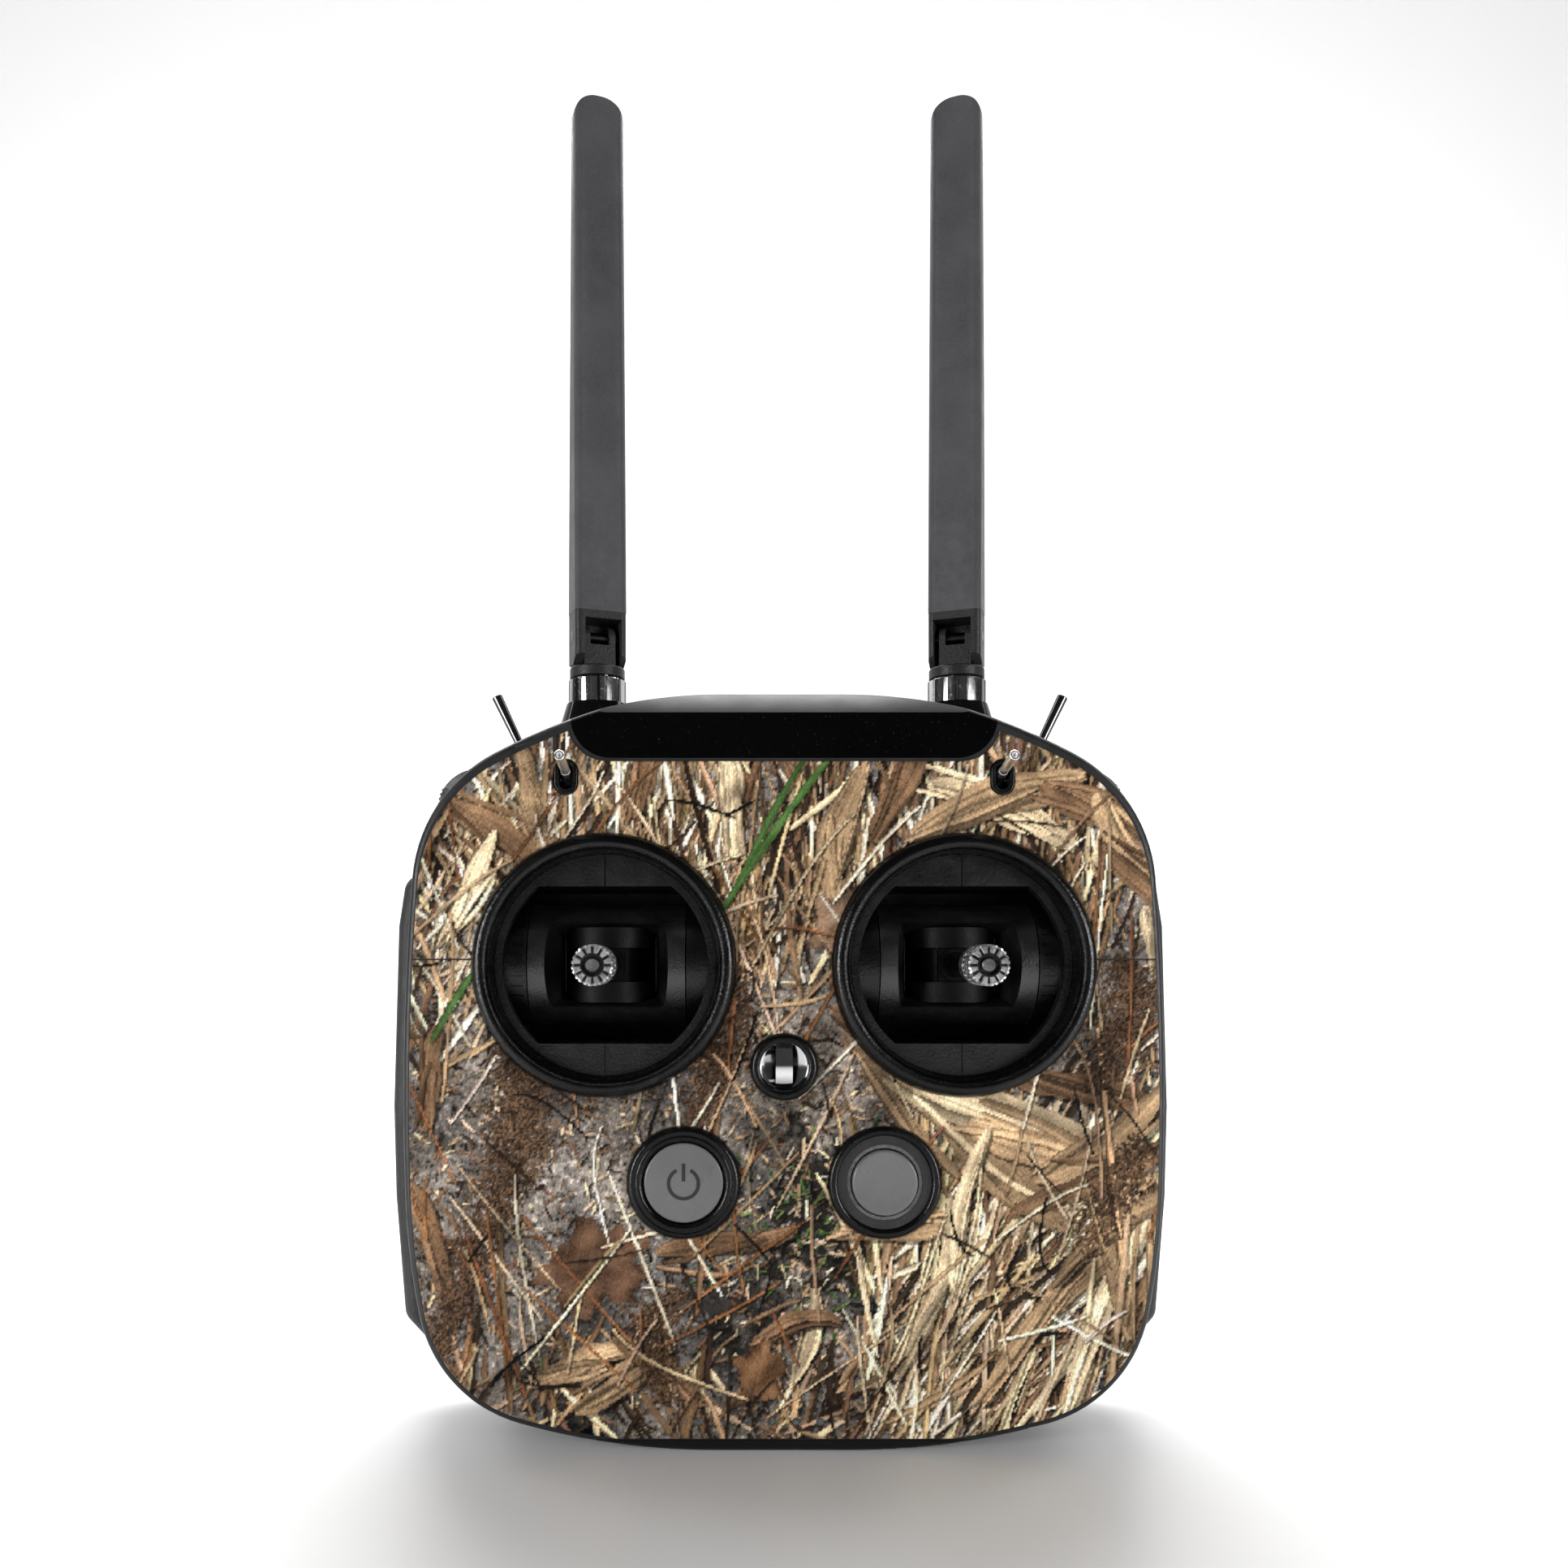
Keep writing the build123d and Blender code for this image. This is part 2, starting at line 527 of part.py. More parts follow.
with BuildPart() as stick_yoke:
    with BuildSketch(Plane(origin=(-GIMBAL_X, FACE_Y + GIMBAL_DEPTH, GIMBAL_Z - YOKE_HALF))):
        Circle(YOKE_R)
    extrude(amount=2 * YOKE_HALF)
    with BuildSketch(Plane(origin=(-GIMBAL_X, FACE_Y + GIMBAL_DEPTH, GIMBAL_Z - 13.8))):
        Circle(YOKE_PIN_R)
    extrude(amount=27.6)
    with BuildSketch(Plane(origin=(-GIMBAL_X, FACE_Y + GIMBAL_DEPTH, GIMBAL_Z - BAND_HALF))):
        Circle(YOKE_R + 1)
        Circle(BAND_R, mode=Mode.SUBTRACT)
    extrude(amount=2 * BAND_HALF, mode=Mode.SUBTRACT)
    # square seat and round collar at the root of the stick
    with BuildSketch(face_plane(GIMBAL_DEPTH - BAND_R - 1, -GIMBAL_X, GIMBAL_Z)):
        RectangleRounded(8.7, 8.7, 0.6)
    extrude(amount=-3)
    with BuildSketch(face_plane(GIMBAL_DEPTH - BAND_R - 1.6, -GIMBAL_X, GIMBAL_Z)):
        Circle(4.2)
    extrude(amount=-1)
    with BuildSketch(face_plane(9, -GIMBAL_X, GIMBAL_Z)):
        Circle(SHAFT_R + FIT)
    extrude(amount=-11, mode=Mode.SUBTRACT)
    for step in range(-3, 4):
        for level in (-7.1, 7.1):
            with BuildSketch(
                spoke_plane(13.1 * step, False, YOKE_R - 0.3, -GIMBAL_X, GIMBAL_Z).move(Location((0, 0, level)))
            ):
                Rectangle(3.0, 0.45)
            extrude(amount=1, mode=Mode.SUBTRACT)
save_pair(stick_yoke.part, "stick_yoke")

with BuildPart() as stick_shaft:
    with BuildSketch(face_plane(STICK_END_BACK, -GIMBAL_X, GIMBAL_Z)):
        Circle(SHAFT_R)
    extrude(amount=STICK_END_BACK - 20)
    with BuildSketch(face_plane(STICK_END_BACK, -GIMBAL_X, GIMBAL_Z)):
        Circle(1.7)
    extrude(amount=-4, mode=Mode.SUBTRACT)
save_pair(stick_shaft.part, "stick_shaft")

with BuildPart() as stick_end:
    with BuildSketch(face_plane(STICK_END_FRONT, -GIMBAL_X, GIMBAL_Z)):
        Circle(STICK_END_R)
    extrude(amount=STICK_END_FRONT - STICK_END_BACK)
    chamfer(stick_end.faces().sort_by(Axis.Y)[0].edges(), 0.5)
    chamfer(stick_end.faces().sort_by(Axis.Y)[-1].edges(), 0.4)
    with BuildSketch(face_plane(STICK_END_FRONT, -GIMBAL_X, GIMBAL_Z)):
        Circle(2.35)
    extrude(amount=-1.6, mode=Mode.SUBTRACT)
    with BuildSketch(face_plane(STICK_END_FRONT, -GIMBAL_X, GIMBAL_Z)):
        Circle(1.7)
    extrude(amount=STICK_END_FRONT - STICK_END_BACK, mode=Mode.SUBTRACT)
    # flutes on the front, knurling along the side and three grooves round it
    with BuildSketch(face_plane(STICK_END_FRONT, -GIMBAL_X, GIMBAL_Z)):
        with PolarLocations(3.9, 12):
            Rectangle(2.4, 0.95)
    extrude(amount=-0.8, mode=Mode.SUBTRACT)
    with BuildSketch(face_plane(STICK_END_FRONT, -GIMBAL_X, GIMBAL_Z)):
        with PolarLocations(STICK_END_R, 24):
            Rectangle(0.6, 0.4)
    extrude(amount=-8, mode=Mode.SUBTRACT)
    for depth in (-26.1, -23.7, -21.3):
        with BuildSketch(face_plane(depth, -GIMBAL_X, GIMBAL_Z)):
            Circle(STICK_END_R + 1)
            Circle(STICK_END_R - 0.3, mode=Mode.SUBTRACT)
        extrude(amount=-0.5, mode=Mode.SUBTRACT)
save_pair(stick_end.part, "stick_end")

with BuildPart() as stick_screw:
    with BuildSketch(face_plane(STICK_END_FRONT + 0.3, -GIMBAL_X, GIMBAL_Z)):
        Circle(1.65)
    extrude(amount=-15)
    chamfer(stick_screw.faces().sort_by(Axis.Y)[0].edges(), 0.25)
save_pair(stick_screw.part, "stick_screw")

gimbal_bezel = turned(
    outline_of(
        (BEZEL_R, 0), (BEZEL_R, -1.2), ((31.95, -2.45), (30.7, -3.0)), (30.3, -3.0),
        ((29.3, -2.55), (28.6, -1.4)), (BEZEL_BORE, 2.8), (BEZEL_BORE, DISC_BACK),
        (SHELL_BORE - 0.1, DISC_BACK), (SHELL_BORE - 0.1, 0),
    ),
    -GIMBAL_X, GIMBAL_Z,
)
save_pair(gimbal_bezel, "gimbal_bezel")

# ---------------------------------------------------------------- power button (left), home (right)
power_bezel = turned(
    rounded_lip(10.2, BUTTON_BEZEL_R, -1.7, BUTTON_HOLE - 0.05, 3.6), -BUTTON_X, BUTTON_Z
)
save(power_bezel, "power_bezel")
power_button = turned(
    outline_of(
        (0, -2.0), ((4.9, -1.84), (9.3, -1.3)), ((9.75, -1.1), (POWER_CAP_R, -0.7)),
        (POWER_CAP_R, 4), (11, 4), (11, 5), (2, 5), (2, 12.8), (0, 12.8),
    ),
    -BUTTON_X, BUTTON_Z,
)
save(power_button, "power_button")

home_bezel = turned(
    outline_of(
        (BUTTON_BEZEL_R, 0), (BUTTON_BEZEL_R, -0.8), ((13.6, -1.35), (13.0, -1.6)), (12.5, -1.6),
        ((11.95, -1.3), (11.7, -0.7)), (11.7, 1.2), (10.4, 1.2), (10.4, 3.6),
        (BUTTON_HOLE - 0.05, 3.6), (BUTTON_HOLE - 0.05, 0),
    ),
    BUTTON_X, BUTTON_Z,
)
save(home_bezel, "home_bezel")
home_trim_ring = turned(
    outline_of((11.65, -0.3), (11.65, 1.2), (8.55, 1.2), (8.55, 0.4), (9.45, 0.4), (9.45, -0.3)),
    BUTTON_X, BUTTON_Z,
)
save(home_trim_ring, "home_trim_ring")
home_light_ring = turned(
    outline_of((9.4, -0.1), (9.4, 0.4), (8.55, 0.4), (8.55, -0.1)), BUTTON_X, BUTTON_Z
)
save(home_light_ring, "home_light_ring")
home_button = turned(
    outline_of(
        (0, -0.95), ((3.8, -1.05), (7.3, -1.4)), ((7.95, -1.25), (HOME_CAP_R, -0.7)),
        (HOME_CAP_R, 4), (11, 4), (11, 5), (2, 5), (2, 12.8), (0, 12.8),
    ),
    BUTTON_X, BUTTON_Z,
)
save(home_button, "home_button")

# ---------------------------------------------------------------- lanyard eye
lanyard_bezel = turned(rounded_lip(6.0, LANYARD_R, -1.6, 6.95, 5.6), 0, LANYARD_Z)
save(lanyard_bezel, "lanyard_bezel")
lanyard_disc = turned(
    outline_of((0, 4.6), ((3.2, 4.25), (5.95, 3.4)), (5.95, 5.6), (0, 5.6)), 0, LANYARD_Z
)
save(lanyard_disc, "lanyard_disc")
with BuildPart() as lanyard_bar:
    with BuildSketch(side_plane(-2.1)):
        with BuildLine():
            Line((3.3, LANYARD_Z - 5.9), (1.0, LANYARD_Z - 5.9))
            ThreePointArc((1.0, LANYARD_Z - 5.9), (-0.9, LANYARD_Z), (1.0, LANYARD_Z + 5.9))
            Line((1.0, LANYARD_Z + 5.9), (3.3, LANYARD_Z + 5.9))
            Line((3.3, LANYARD_Z + 5.9), (3.3, LANYARD_Z + 4.9))
            ThreePointArc((3.3, LANYARD_Z + 4.9), (0.4, LANYARD_Z), (3.3, LANYARD_Z - 4.9))
            Line((3.3, LANYARD_Z - 4.9), (3.3, LANYARD_Z - 5.9))
        make_face()
    extrude(amount=4.2)
    with BuildSketch(face_plane(-2, 0, LANYARD_Z)):
        Circle(5.95)
    extrude(amount=-6, mode=Mode.INTERSECT)
save(lanyard_bar.part, "lanyard_bar")

# ---------------------------------------------------------------- face toggles (built on the left)
with BuildPart() as face_toggle_bezel:
    with BuildSketch(face_plane(-0.7, *FACE_TOGGLE)):
        SlotOverall(8.7, 5.7, rotation=90)
    extrude(amount=-0.7)
    fillet(face_toggle_bezel.faces().sort_by(Axis.Y)[0].edges(), 0.3)
    with BuildSketch(face_plane(0, *FACE_TOGGLE)):
        SlotOverall(8.1, 5.1, rotation=90)
    extrude(amount=-2.2)
    with BuildSketch(face_plane(-1, *FACE_TOGGLE)):
        SlotOverall(6.4, 3.5, rotation=90)
    extrude(amount=-4, mode=Mode.SUBTRACT)
save_pair(face_toggle_bezel.part, "face_toggle_bezel")

tilt = radians(FACE_TOGGLE_TILT)
pivot_depth, pivot_z = FACE_PIVOT
face_pivot_plane = Plane(
    origin=(FACE_TOGGLE[0], FACE_Y + pivot_depth, pivot_z),
    x_dir=(1, 0, 0),
    z_dir=(0, -cos(tilt), sin(tilt)),
)
with BuildPart() as face_toggle_lever:
    with BuildSketch(face_pivot_plane):
        Circle(1.2)
    extrude(amount=7.6)
    with BuildSketch(face_pivot_plane.offset(7.6)):
        Circle(1.1)
    with BuildSketch(face_pivot_plane.offset(FACE_LEVER_LENGTH)):
        Circle(1.27)
    loft()
    chamfer(face_toggle_lever.faces().sort_by(Axis.Y)[0].edges(), 0.2)
    with BuildSketch(face_pivot_plane.offset(FACE_LEVER_LENGTH)):
        Circle(0.75)
    extrude(amount=-0.7, taper=40, mode=Mode.SUBTRACT)
    with Locations(face_pivot_plane.origin):
        Sphere(1.9)
    with BuildSketch(side_plane(FACE_TOGGLE[0] - 3.2)):
        with Locations((pivot_depth, pivot_z)):
            Circle(0.6)
    extrude(amount=6.4)
save_pair(face_toggle_lever.part, "face_toggle_lever")

# ---------------------------------------------------------------- shoulder toggles
with BuildPart() as shoulder_toggle_nuts:
    with BuildSketch(shoulder_plane(-1)):
        Circle(3.6)
        with PolarLocations(3.6, 18):
            Rectangle(0.5, 0.5, mode=Mode.SUBTRACT)
        Circle(BUSHING_R + FIT, mode=Mode.SUBTRACT)
    extrude(amount=1.9)
    add(envelope.part, mode=Mode.SUBTRACT)
    mirror(about=Plane.YZ)
save(shoulder_toggle_nuts.part, "shoulder_toggle_nuts")

with BuildPart() as shoulder_toggle_lever:
    with BuildSketch(shoulder_plane(-SHOULDER_PIVOT)):
        Circle(0.95)
    with BuildSketch(shoulder_plane(LEVER_HEIGHT)):
        Circle(1.38)
    loft()
    chamfer(shoulder_toggle_lever.faces().sort_by(Axis.Z)[-1].edges(), 0.2)
    with Locations(shoulder_plane(-SHOULDER_PIVOT).origin):
        Sphere(1.6)
    with BuildSketch(Plane(
        origin=shoulder_plane(-SHOULDER_PIVOT).from_local_coords((-2.6, 0, 0)),
        x_dir=(0, 1, 0),
        z_dir=shoulder_plane().x_dir,
    )):
        Circle(0.5)
    extrude(amount=5.2)
save_pair(shoulder_toggle_lever.part, "shoulder_toggle_lever")

# ---------------------------------------------------------------- switch bodies behind the toggles
with BuildPart() as toggle_switches:
    with BuildSketch(face_plane(WALL + 0.05, *FACE_TOGGLE)):
        RectangleRounded(7.6, 13, 0.5)
    extrude(amount=-10)
    with BuildSketch(face_plane(1, *FACE_TOGGLE)):
        SlotOverall(8.4, 4.6, rotation=90)
    extrude(amount=-8, mode=Mode.SUBTRACT)
    with BuildSketch(side_plane(FACE_TOGGLE[0] - 3.3)):
        with Locations((pivot_depth, pivot_z)):
            Circle(0.6 + FIT)
    extrude(amount=6.6, mode=Mode.SUBTRACT)
    with BuildSketch(shoulder_plane(-9.5)):
        RectangleRounded(7, 9, 0.5)
    extrude(amount=6.7)
    with BuildSketch(shoulder_plane(-4)):
        Circle(BUSHING_R)
    extrude(amount=4.6)
    with BuildSketch(shoulder_plane(-4.4)):
        Circle(BUSHING_BORE)
    extrude(amount=6, mode=Mode.SUBTRACT)
    with BuildSketch(Plane(
        origin=shoulder_plane(-SHOULDER_PIVOT).from_local_coords((-2.7, 0, 0)),
        x_dir=(0, 1, 0),
        z_dir=shoulder_plane().x_dir,
    )):
        Circle(0.5 + FIT)
    extrude(amount=5.4, mode=Mode.SUBTRACT)
    mirror(about=Plane.YZ)
save(toggle_switches.part, "toggle_switches")

# ---------------------------------------------------------------- shoulder dials
for name, (x, z) in DIAL_SPOTS.items():
    with BuildPart() as dial:
        with BuildSketch(face_plane(DIAL_FRONT, x, z)):
            Circle(DIAL_R)
        extrude(amount=-(DIAL_BACK - DIAL_FRONT))
        chamfer(dial.edges().filter_by(GeomType.CIRCLE), 0.5)
        with BuildSketch(face_plane(DIAL_FRONT, x, z)):
            with PolarLocations(DIAL_R, 48):
                Rectangle(0.8, 0.6)
        extrude(amount=-(DIAL_BACK - DIAL_FRONT), mode=Mode.SUBTRACT)
        with BuildSketch(face_plane(10, x, z)):
            Circle(AXLE_R)
        extrude(amount=-6)
    save(dial.part, f"dial_{name}")

# ---------------------------------------------------------------- antennas (built on the left)
with BuildPart() as antenna_seat:
    with BuildSketch(antenna_plane(182.5)):
        Circle(10.6)
    with BuildSketch(antenna_plane(188.5)):
        Circle(10.2)
    with BuildSketch(antenna_plane(COLLAR_LOW)):
        Circle(8.6)
    loft(ruled=True)
    with BuildSketch(antenna_plane(182.5)):
        Circle(STUB_R + FIT)
    extrude(amount=12, mode=Mode.SUBTRACT)
    add(envelope.part, mode=Mode.SUBTRACT)
save_pair(antenna_seat.part, "antenna_seat")

with BuildPart() as antenna_connector:
    with BuildSketch(antenna_plane(STUB_Z)):
        Circle(STUB_R)
    extrude(amount=COLLAR_LOW - STUB_Z)
    with BuildSketch(antenna_plane(COLLAR_LOW)):
        Circle(COLLAR_R)
    extrude(amount=COLLAR_TOP - COLLAR_LOW)
    chamfer(antenna_connector.faces().sort_by(Axis.Z)[-1].edges(), 0.7)
    with BuildSketch(antenna_plane(COLLAR_TOP)):
        Circle(NECK_PIN_R + FIT)
    extrude(amount=-6.4, mode=Mode.SUBTRACT)
save_pair(antenna_connector.part, "antenna_connector")

with BuildPart() as antenna_neck:
    with BuildSketch(antenna_plane(COLLAR_TOP - 6)):
        Circle(NECK_PIN_R)
    extrude(amount=NECK_LOW - COLLAR_TOP + 6)
    with BuildSketch(antenna_plane(NECK_LOW)):
        Circle(NECK_R)
    extrude(amount=NECK_TOP - NECK_LOW)
    fillet(antenna_neck.faces().sort_by(Axis.Z)[-1].edges(), 0.5)
    with BuildSketch(antenna_profile_plane(-TONGUE_HALF)):
        Circle(TONGUE_R)
        with Locations((0, (NECK_TOP - FOLD_Z - 1) / 2)):
            Rectangle(2 * TONGUE_R, FOLD_Z - NECK_TOP + 1)
    extrude(amount=2 * TONGUE_HALF)
    with BuildSketch(antenna_profile_plane(-2.7)):
        with Locations((0, 2)):
            Rectangle(8, 8.8)
    extrude(amount=5.4, mode=Mode.SUBTRACT)
    with BuildSketch(antenna_profile_plane(-TONGUE_HALF - 1)):
        Circle(FOLD_PIN_R + FIT)
    extrude(amount=2 * TONGUE_HALF + 2, mode=Mode.SUBTRACT)
save_pair(antenna_neck.part, "antenna_neck")

with BuildPart() as antenna_knuckle:
    with BuildSketch(antenna_profile_plane(-7.25)):
        Polygon((-5, 6.6), (5, 6.6), (5, -6.8), (2.5, -8.1), (-1.4, -8.1), (-5, -5.6), align=None)
    extrude(amount=14.5)
    fillet(antenna_knuckle.edges().filter_by(Axis.Z), 1.6)
    # slot for the neck, open in front and below, with a thicker wall on the outer side
    with BuildSketch(antenna_profile_plane(-4.65)):
        with Locations((-1.3, -2.2)):
            Rectangle(10, 13.2)
    extrude(amount=10.4, mode=Mode.SUBTRACT)
    with BuildSketch(antenna_profile_plane(-8)):
        Circle(FOLD_PIN_R + 0.02)
    extrude(amount=16, mode=Mode.SUBTRACT)
save_pair(antenna_knuckle.part, "antenna_knuckle")

with BuildPart() as antenna_hinge_pin:
    with BuildSketch(antenna_profile_plane(-7.3)):
        Circle(FOLD_PIN_R)
    extrude(amount=14.55)
save_pair(antenna_hinge_pin.part, "antenna_hinge_pin")

with BuildPart() as antenna_blade:
    with BuildSketch(antenna_plane(KNUCKLE_TOP)):
        RectangleRounded(BLADE_WIDTH, BLADE_THICK, 2.2)
    with BuildSketch(antenna_plane(ANTENNA_TOP)):
        RectangleRounded(TIP_WIDTH, TIP_THICK, 2.2)
    loft()
    # the tip is rounded as seen from the front
    with BuildSketch(Plane(
        origin=antenna_plane(0).from_local_coords((0, -10, 0)),
        x_dir=antenna_plane(0).x_dir,
        z_dir=-antenna_plane(0).y_dir,
    )):
        with Locations((0, (ANTENNA_TOP + KNUCKLE_TOP) / 2 - 5)):
            RectangleRounded(TIP_WIDTH + 0.4, ANTENNA_TOP - KNUCKLE_TOP + 10, 6.6)
    extrude(amount=-20, mode=Mode.INTERSECT)
save_pair(antenna_blade.part, "antenna_blade")

# ---------------------------------------------------------------- parts inside the case
with BuildPart() as circuit_boards:
    # main board with press switches under the two buttons
    with BuildSketch(face_plane(BOARD_DEPTH)):
        with Locations((0, 42.5)):
            Rectangle(108, 71)
    extrude(amount=-BOARD)
    with BuildSketch(face_plane(14.6)):
        with Locations((-BUTTON_X, BUTTON_Z), (BUTTON_X, BUTTON_Z)):
            Rectangle(6, 6)
    extrude(amount=-1.4)
    with BuildSketch(face_plane(14)):
        with Locations((-BUTTON_X, BUTTON_Z), (BUTTON_X, BUTTON_Z)):
            Circle(1.7)
    extrude(amount=-0.6)
    # radio board with a screening can over its chips
    with BuildSketch(face_plane(RADIO_DEPTH)):
        with Locations((0, 165.5)):
            Rectangle(76, 30)
    extrude(amount=-BOARD)
    with BuildSketch(face_plane(RADIO_DEPTH - 3)):
        with Locations((0, 167.5)):
            RectangleRounded(40, 20, 1)
    extrude(amount=-3)
save(circuit_boards.part, "circuit_boards")

with BuildPart() as case_spacers:
    with BuildSketch(face_plane(WALL)):
        with Locations(*SCREWS):
            Circle(SPACER_R)
            Circle(SCREW_R + FIT, mode=Mode.SUBTRACT)
    extrude(amount=WALL - SPACER_BACK)
    # posts under the two boards
    with BuildSketch(face_plane(WALL)):
        with Locations(*BOARD_POSTS):
            Circle(2.5)
    extrude(amount=WALL - BOARD_DEPTH)
    with BuildSketch(face_plane(RADIO_DEPTH + BOARD)):
        with Locations(*RADIO_POSTS):
            Circle(2.5)
    extrude(amount=RADIO_DEPTH + BOARD - BODY_DEPTH + WALL)
save(case_spacers.part, "case_spacers")

with BuildPart() as battery_pack:
    with BuildSketch(face_plane(20)):
        with Locations((0, 44)):
            RectangleRounded(74, 52, 3)
    extrude(amount=-(BODY_DEPTH - WALL - 20))
save(battery_pack.part, "battery_pack")

with BuildPart() as battery_cover:
    with BuildSketch(face_plane(BODY_DEPTH - WALL)):
        with Locations((0, (DOOR_LOW + DOOR_HIGH) / 2)):
            RectangleRounded(2 * DOOR_HALF - 0.4, DOOR_HIGH - DOOR_LOW - 0.4, 4.8)
    extrude(amount=-WALL)
    # thumb grooves below the upper edge
    with BuildSketch(face_plane(BODY_DEPTH)):
        with Locations((0, DOOR_HIGH - 9)):
            with GridLocations(1, 2.4, 1, 4):
                SlotOverall(22, 1.2)
    extrude(amount=0.6, mode=Mode.SUBTRACT)
save(battery_cover.part, "battery_cover")

with BuildPart() as led_light_guides:
    with BuildSketch(face_plane(-0.05)):
        with Locations(*[(x, LED_Z) for x in LED_X]):
            Circle(LED_R)
    extrude(amount=-(BOARD_DEPTH + 0.05))
save(led_light_guides.part, "led_light_guides")

with BuildPart() as case_screws:
    with BuildSketch(face_plane(47.6)):
        with Locations(*SCREWS):
            Circle(SCREW_HEAD_R)
    extrude(amount=-1.9)
    with BuildSketch(face_plane(10)):
        with Locations(*SCREWS):
            Circle(SCREW_R)
    extrude(amount=-37.6)
    # cross recess in each head
    with BuildSketch(face_plane(49.5)):
        with Locations(*SCREWS):
            Rectangle(3.2, 0.6)
            Rectangle(0.6, 3.2)
    extrude(amount=1.2, mode=Mode.SUBTRACT)
save(case_screws.part, "case_screws")
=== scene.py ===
import json
import math

import bmesh
import bpy
import numpy as np
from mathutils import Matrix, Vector
from mathutils.kdtree import KDTree


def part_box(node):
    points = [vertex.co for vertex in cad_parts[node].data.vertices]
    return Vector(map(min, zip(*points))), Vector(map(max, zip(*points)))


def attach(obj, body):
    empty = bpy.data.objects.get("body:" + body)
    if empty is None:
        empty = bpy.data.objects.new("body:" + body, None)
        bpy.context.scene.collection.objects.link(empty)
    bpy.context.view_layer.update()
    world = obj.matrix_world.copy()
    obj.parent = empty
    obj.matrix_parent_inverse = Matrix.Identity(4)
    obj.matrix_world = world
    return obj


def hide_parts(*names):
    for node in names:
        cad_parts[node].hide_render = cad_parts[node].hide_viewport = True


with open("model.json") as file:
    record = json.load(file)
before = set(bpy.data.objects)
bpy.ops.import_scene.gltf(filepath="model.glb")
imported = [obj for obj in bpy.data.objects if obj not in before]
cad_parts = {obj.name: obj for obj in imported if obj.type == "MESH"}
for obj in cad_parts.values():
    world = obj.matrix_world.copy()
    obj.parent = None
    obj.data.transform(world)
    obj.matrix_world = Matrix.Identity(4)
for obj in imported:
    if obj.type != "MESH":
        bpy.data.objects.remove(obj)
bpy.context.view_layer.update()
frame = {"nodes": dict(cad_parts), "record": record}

NODES = frame["nodes"]
MM = 0.001
# the skin's grid, the print's pixel in millimetres, the spacing of points along the skin's
# outline, and how many grid steps a rim point may move to reach it
GRID_PITCH = 0.4 * MM
PRINT_PIXEL = 0.25
RIM_SAMPLE = 0.08 * MM
RIM_REACH = 1.2
rng = np.random.default_rng(20731)


# ------------------------------------------------------------------ node helpers
class Graph:
    """A material's node tree with short calls for the nodes used here."""

    def __init__(self, name):
        self.material = bpy.data.materials.new(name)
        self.material.use_nodes = True
        self.tree = self.material.node_tree
        self.shader = self.tree.nodes["Principled BSDF"]
        self.place = self.new("ShaderNodeTexCoord").outputs["Object"]

    def new(self, kind, **settings):
        node = self.tree.nodes.new(kind)
        for key, value in settings.items():
            setattr(node, key, value)
        return node

    def feed(self, socket, value):
        """Links a socket or sets a constant."""
        if isinstance(value, bpy.types.NodeSocket):
            self.tree.links.new(value, socket)
        elif value is not None:
            socket.default_value = value

    def math(self, operation, a, b=None, c=None):
        node = self.new("ShaderNodeMath", operation=operation)
        for socket, value in zip(node.inputs, (a, b, c)):
            self.feed(socket, value)
        return node.outputs[0]

    def stretch(self, scale):
        """The object's coordinates, stretched for lines along one direction."""
        node = self.new("ShaderNodeMapping")
        self.feed(node.inputs["Vector"], self.place)
        node.inputs["Scale"].default_value = scale
        return node.outputs[0]

    def noise(self, size, detail=3.0, rough=0.55, vector=None):
        """Noise from 0 to 1 whose blobs are about size across, in millimetres."""
        node = self.new("ShaderNodeTexNoise")
        self.feed(node.inputs["Vector"], self.place if vector is None else vector)
        node.inputs["Scale"].default_value = 1 / (size * MM)
        node.inputs["Detail"].default_value = detail
        node.inputs["Roughness"].default_value = rough
        return node.outputs["Fac"]

    def cells(self, size):
        """Distance to the nearest point of a random scatter, for moulded grain."""
        node = self.new("ShaderNodeTexVoronoi")
        self.feed(node.inputs["Vector"], self.place)
        node.inputs["Scale"].default_value = 1 / (size * MM)
        return node.outputs["Distance"]

    def ramp(self, value, low, high, out_low=0.0, out_high=1.0):
        """Turns low to high into out_low to out_high, and holds the ends."""
        node = self.new("ShaderNodeMapRange", clamp=True)
        for key, number in zip(range(1, 5), (low, high, out_low, out_high)):
            node.inputs[key].default_value = number
        self.feed(node.inputs[0], value)
        return node.outputs[0]

    def mix(self, factor, a, b, blend="MIX"):
        """Blends two colours, each a socket or three numbers."""
        node = self.new("ShaderNodeMix", data_type="RGBA", blend_type=blend)
        for index, value in ((0, factor), (6, a), (7, b)):
            if isinstance(value, tuple) and len(value) == 3:
                value = (*value, 1.0)
            self.feed(node.inputs[index], value)
        return node.outputs[2]

    def wear(self):
        """1 along raised edges and 0 elsewhere."""
        return self.ramp(self.new("ShaderNodeNewGeometry").outputs["Pointiness"], 0.52, 0.62)

    def bump(self, heights):
        """Chains (height, depth in millimetres) pairs into the shader's normal."""
        normal = None
        for height, depth in heights:
            node = self.new("ShaderNodeBump")
            node.inputs["Distance"].default_value = depth * MM
            node.inputs["Strength"].default_value = 1.0
            self.feed(node.inputs["Height"], height)
            if normal is not None:
                self.feed(node.inputs["Normal"], normal)
            normal = node.outputs[0]
        self.feed(self.shader.inputs["Normal"], normal)

    def set(self, **values):
        """Feeds the shader's inputs by name, with _ for a space."""
        for key, value in values.items():
            self.feed(self.shader.inputs[key.replace("_", " ")], value)


def tint(colour, factor):
    """A colour made lighter or darker."""
    return tuple(min(1.0, channel * factor) for channel in colour)


